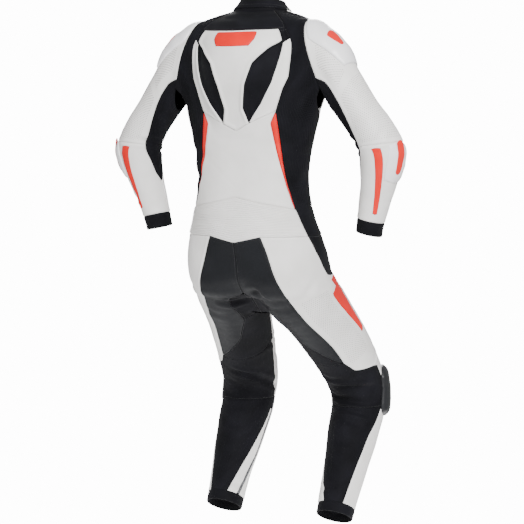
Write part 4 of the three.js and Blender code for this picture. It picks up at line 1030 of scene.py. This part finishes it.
def rounded(a, b, corner):
    p, q = 2 * a - 1, 2 * b - 1
    p, q = p * np.sqrt(1 - corner * q * q / 2), q * np.sqrt(1 - corner * p * p / 2)
    return (p + 1) / 2, (q + 1) / 2


def buildLaid(name, part, node):
    start, end = part["levels"]
    ends = np.array([start, (start + end) / 2, end])
    across = np.stack([np.linspace(part["first"](x), part["last"](x), 9) for x in ends])
    ends = placeOn(part["domain"], ends[:, None] + np.zeros((1, 9)), across)
    width, length = arcs(ends)[:, -1].max(), arcs(ends.transpose(1, 0, 2))[:, -1].max()
    edges = (part["bevel"] * 0.15, part["bevel"] * 0.45, part["bevel"])
    aSteps, bSteps = (stepsBetween(size, part["spacing"], edges) for size in (width, length))
    a, b = rounded(*np.meshgrid(aSteps, bSteps), part["corner"])
    level = start + (end - start) * b
    turn = part["first"](level) + (part["last"](level) - part["first"](level)) * a
    base = placeOn(part["domain"], level, turn)
    normal = surfaceNormal(base.reshape(-1, 3)).reshape(base.shape)
    across, down, near = edgeReach(base)
    t = np.clip(near / part["bevel"], 0, 1)
    rise = part["edge"] * (0.35 + 0.65 * np.sqrt(1 - (1 - t) ** 2))
    rise += (part["thick"] - part["edge"]) * np.sin(np.clip(near / part["dome"], 0, 1) * math.pi / 2)
    for side in (("",) if part.get("single") else ("l", "r")):
        flat = base.reshape(-1, 3)
        relief = reliefAt(flat, side or "l", 1.0).reshape(level.shape)
        if side == "":
            relief = middleRelief(flat, 1.0).reshape(level.shape)
        under = relief + part.get("over", 0.1)
        outer = base + normal * (under + rise)[..., None]
        inner = base + normal * (under - 0.5)[..., None]
        fullName = f"{name}_{side}" if side else name
        piece = makeWall(f"laid_{fullName}", outer, inner, np.stack([across, down], -1), part["finish"],
                         side == "r", liner=False)
        settle(piece, fullName if node else None)
        grids[fullName] = dict(piece=piece, outer=outer, normal=normal, level=level, turn=turn)
        if part["finish"] == "redLeather":
            for lane in ((slice(2, -2), 2), (slice(2, -2), -3), (2, slice(2, -2)), (-3, slice(2, -2))):
                keepStitches("blackThread", outer[lane] + normal[lane] * 0.1, normal[lane], side == "r")


for guardName, guardFacts in guards.items():
    buildLaid(guardName, guardFacts, True)
for inlayName, inlayFacts in inlays.items():
    buildLaid(inlayName, inlayFacts, inlayName == "hump_badge")
print("guards and inlays made")

# Stitches, perforations and zip teeth: small shapes set along lines or on points by Geometry Nodes
stitch = {"length": 3.4, "width": 0.9, "pitch": 5.0}
tooth = {"length": 3.2, "width": 1.5, "pitch": 2.6, "height": 1.5}
hole = {"radius": 0.95, "pitch": 6.4}


def smallMesh(name, points, faces):
    mesh = bpy.data.meshes.new(name)
    mesh.from_pydata([tuple(c * metre for c in p) for p in points], [], faces)
    item = bpy.data.objects.new(name, mesh)
    return item


def stitchShape():
    half, wide = stitch["length"] / 2, stitch["width"] / 2

    def ring(x, r):
        return [(x, r, 0), (x, 0, r * 0.8), (x, -r, 0), (x, 0, -r * 0.8)]

    points = [(-half, 0, -0.1), *ring(-half * 0.5, wide), *ring(half * 0.5, wide), (half, 0, -0.1)]
    faces = []
    for i in range(4):
        j = (i + 1) % 4
        faces += [(0, 1 + j, 1 + i), (1 + i, 1 + j, 5 + j, 5 + i), (9, 5 + i, 5 + j)]
    return smallMesh("stitch_shape", points, faces)


def boxShape(name, x, y, z):
    points = [(sx * x / 2, sy * y / 2, sz * z / 2) for sx in (-1, 1) for sy in (-1, 1) for sz in (-1, 1)]
    faces = [(0, 1, 3, 2), (4, 6, 7, 5), (0, 4, 5, 1), (2, 3, 7, 6), (0, 2, 6, 4), (1, 5, 7, 3)]
    return smallMesh(name, points, faces)


def holeShape():
    r = hole["radius"]
    rim = [(r * math.cos(a), r * math.sin(a), 0.12) for a in np.linspace(0, 2 * math.pi, 7)[:-1]]
    foot = [(x, y, -0.5) for x, y, _ in rim]
    faces = [tuple(range(6)), tuple(range(11, 5, -1))]
    faces += [(i + 6, (i + 1) % 6 + 6, (i + 1) % 6, i) for i in range(6)]
    return smallMesh("hole_shape", rim + foot, faces)


def scatterTree(alongLines):
    tree, given, result = nodeTree("set_along_lines" if alongLines else "set_on_points", [
        ("Pitch", "NodeSocketFloat", 0.005), ("Shape", "NodeSocketObject", None),
        ("Finish", "NodeSocketMaterial", None)])
    source = given.outputs["Geometry"]
    if alongLines:
        curve = addNode(tree, "GeometryNodeMeshToCurve", [("Mesh", source)])
        spaced = [("Curve", curve.outputs[0]), ("Length", given.outputs["Pitch"])]
        source = addNode(tree, "GeometryNodeResampleCurve", spaced, mode="LENGTH").outputs[0]
        tangent = addNode(tree, "GeometryNodeInputTangent").outputs[0]
    else:
        source = addNode(tree, "GeometryNodeMeshToPoints", [("Mesh", source)]).outputs[0]
        tangent = attributeIn(tree, "along", "FLOAT_VECTOR")
    lay = addNode(tree, "FunctionNodeAlignRotationToVector", [("Vector", tangent)], axis="X")
    stand = addNode(tree, "FunctionNodeAlignRotationToVector",
                    [("Rotation", lay.outputs[0]), ("Vector", attributeIn(tree, "outward", "FLOAT_VECTOR"))],
                    axis="Z", pivot_axis="X")
    shape = addNode(tree, "GeometryNodeObjectInfo", [("Object", given.outputs["Shape"])])
    placed = addNode(tree, "GeometryNodeInstanceOnPoints", [
        ("Points", source), ("Instance", shape.outputs["Geometry"]), ("Rotation", stand.outputs[0])])
    real = addNode(tree, "GeometryNodeRealizeInstances", [("Geometry", placed.outputs[0])])
    dressed = addNode(tree, "GeometryNodeSetMaterial",
                      [("Geometry", real.outputs[0]), ("Material", given.outputs["Finish"])])
    tree.links.new(dressed.outputs[0], result.inputs["Geometry"])
    return tree


def carrier(name, points, edges, outward, along=None):
    mesh = bpy.data.meshes.new(name)
    mesh.from_pydata((points * metre).tolist(), edges, [])
    layer = mesh.attributes.new("outward", "FLOAT_VECTOR", "POINT")
    layer.data.foreach_set("vector", np.ascontiguousarray(outward).ravel())
    if along is not None:
        layer = mesh.attributes.new("along", "FLOAT_VECTOR", "POINT")
        layer.data.foreach_set("vector", np.ascontiguousarray(along).ravel())
    piece = bpy.data.objects.new(name, mesh)
    bpy.context.collection.objects.link(piece)
    return piece


alongLines, onPoints = scatterTree(True), scatterTree(False)
shapes = {"stitch": stitchShape(), "hole": holeShape(),
          "tooth": boxShape("tooth_shape", tooth["width"], tooth["length"], tooth["height"])}


def sewAll():
    for colour, lines in stitchLines.items():
        points, edges, outward, count = [], [], [], 0
        for line, normals in lines:
            points.append(line)
            outward.append(normals)
            edges += [(count + i, count + i + 1) for i in range(len(line) - 1)]
            count += len(line)
        piece = carrier(f"sewing_{colour}", np.concatenate(points), edges, np.concatenate(outward))
        runTree(piece, alongLines, {"Pitch": stitch["pitch"] * metre, "Shape": shapes["stitch"],
                                    "Finish": finishes[colour]})
        settle(piece)
        print(piece.name, "triangles", sum(len(f.vertices) - 2 for f in piece.data.polygons))


sewAll()

# Punched zones: part of the body, levels and the turns between which the holes lie
punched = [
    ("sleeve", (40, 150), seam((40, 0), (150, 4)), seam((40, 52), (150, 46))),
    ("sleeve", (178, 352), seam((178, -8), (352, -20)), seam((178, 96), (352, 84))),
    ("sleeve", (178, 352), seam((178, 110), (352, 104)), seam((178, 196), (352, 200))),
    ("leg", (150, 440), seam((150, 32), (300, 42), (440, 46)), seam((150, 84), (440, 96))),
    ("leg", (250, 470), seam((250, 136), (470, 128)), seam((250, 214), (470, 206))),
    ("torso", (130, 330), seam((130, 134), (200, 128), (330, 126)), seam((130, 168), (330, 168))),
    ("leg", (690, 900), seam((690, 118), (900, 110)), seam((690, 210), (900, 214))),
]


def punchHoles():
    points, outward = [], []
    for domain, (start, end), first, last in punched:
        rows = np.arange(start, end, hole["pitch"] * 0.87)
        for n, level in enumerate(rows):
            turns = np.linspace(first(level), last(level), 40)
            line = placeOn(domain, np.full(40, level), turns)
            lengths = arcs(line[None])[0]
            at = np.arange(hole["pitch"] * (0.5 if n % 2 else 1), lengths[-1], hole["pitch"])
            if len(at):
                points.append((domain, np.full(len(at), level), np.interp(at, lengths, turns)))
    for side in "lr":
        way = np.array([-1, 1, 1]) if side == "r" else np.array([1, 1, 1])
        spots = []
        for domain in ("sleeve", "leg", "torso"):
            levels = np.concatenate([p[1] for p in points if p[0] == domain])
            turns = np.concatenate([p[2] for p in points if p[0] == domain])
            spots.append(placeOn(domain, levels, turns))
        base = np.concatenate(spots)
        normal = surfaceNormal(base)
        placed = base + normal * reliefAt(base, side)[:, None]
        along = np.cross(normal, [0.0, 0, 1]) + 1e-6
        piece = carrier(f"perforations_{side}", placed * way, [], normal * way, along * way)
        # each hole is a grey disc on the leather, its colour painted shade for the hole's depth
        runTree(piece, onPoints, {"Shape": shapes["hole"], "Finish": finishes["hole"]})
        settle(piece)
        print(piece.name, "holes", len(base))


punchHoles()


def zipTeeth(name, panelName, mirrored):
    grid = grids[panelName]
    middle = grid["outer"].shape[1] // 2
    line, normal = grid["outer"][2:-2, middle], grid["normal"][2:-2, middle]
    way = np.array([-1, 1, 1]) if mirrored else 1
    edges = [(i, i + 1) for i in range(len(line) - 1)]
    piece = carrier(name, (line + normal * 0.5) * way, edges, normal * way)
    runTree(piece, alongLines, {"Pitch": tooth["pitch"] * metre, "Shape": shapes["tooth"],
                                "Finish": finishes["zipMetal"]})
    settle(piece)


zipTeeth("zip_teeth_front", "front_zip", False)
zipTeeth("zip_teeth_leg_l", "leg_zip_l", False)
zipTeeth("zip_teeth_leg_r", "leg_zip_r", True)
for node in ("zip_slider", "zip_pull"):
    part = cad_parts[node]
    part.data.materials.clear()
    part.data.materials.append(finishes["zipMetal"])
for item in shapes.values():
    bpy.data.objects.remove(item)
print("sewing, holes and zip teeth set")

# Floor, light and camera
view = {"azimuth": 205, "elevation": 5, "distance": 4500, "target": (0, 0, -647), "focal": 1731,
        "picture": 524, "sensor": 36}
studio = {"floorZ": -1.72, "floorRadius": 1.3, "floorSides": 96, "room": 0.55, "backdrop": 14.0,
          "floorGlow": 1.2}


def buildStage():
    mesh = bpy.data.meshes.new("studio_floor")
    turns = np.linspace(0, 2 * math.pi, studio["floorSides"], endpoint=False)
    radius = studio["floorRadius"]
    rim = [(radius * math.cos(t), radius * math.sin(t), studio["floorZ"]) for t in turns]
    mesh.from_pydata(rim, [], [tuple(range(studio["floorSides"]))])
    floor = bpy.data.objects.new("studio_floor", mesh)
    bpy.context.collection.objects.link(floor)
    material, tree, surface = newMaterial("pale_studio_floor", **{
        "Base Color": hexColour("fbfbfb"), "Roughness": 0.9, "Emission Color": (1, 1, 1, 1),
        "Emission Strength": studio["floorGlow"]})
    mesh.materials.append(material)
    world = bpy.data.worlds.new("soft_white_room")
    bpy.context.scene.world = world
    world.use_nodes = True
    tree = world.node_tree
    seen = addNode(tree, "ShaderNodeLightPath").outputs["Is Camera Ray"]
    strength = addNode(tree, "ShaderNodeMapRange", [("Value", seen)],
                       inputs={"To Min": studio["room"], "To Max": studio["backdrop"]})
    tree.nodes["Background"].inputs["Color"].default_value = (1, 1, 1, 1)
    tree.links.new(strength.outputs["Result"], tree.nodes["Background"].inputs["Strength"])


def addLight(name, place, aim, size, power):
    light = bpy.data.lights.new(name, "AREA")
    light.shape, light.size, light.energy = "DISK", size, power
    item = bpy.data.objects.new(name, light)
    item.location = place
    item.rotation_euler = (Vector(aim) - Vector(place)).to_track_quat("-Z", "Y").to_euler()
    bpy.context.collection.objects.link(item)


def addCamera():
    az, el = math.radians(view["azimuth"]), math.radians(view["elevation"])
    away = Vector((math.sin(az) * math.cos(el), -math.cos(az) * math.cos(el), math.sin(el)))
    target = Vector(view["target"]) * metre
    data = bpy.data.cameras.new("photo_view")
    data.sensor_width = view["sensor"]
    data.lens = view["focal"] / view["picture"] * view["sensor"]
    camera = bpy.data.objects.new("photo_view", data)
    camera.location = target + away * view["distance"] * metre
    camera.rotation_euler = (-away).to_track_quat("-Z", "Y").to_euler()
    bpy.context.collection.objects.link(camera)
    bpy.context.scene.camera = camera


buildStage()
addLight("key_softbox", (-2.6, 2.8, 1.6), (0, 0, -0.5), 1.5, 330)
addLight("fill_softbox", (2.4, 3.0, 0.3), (0, 0, -0.6), 2.0, 45)
addLight("front_softbox", (1.6, -3.4, 1.2), (0, 0, -0.6), 2.2, 210)
addCamera()
print("stage, light and camera set")
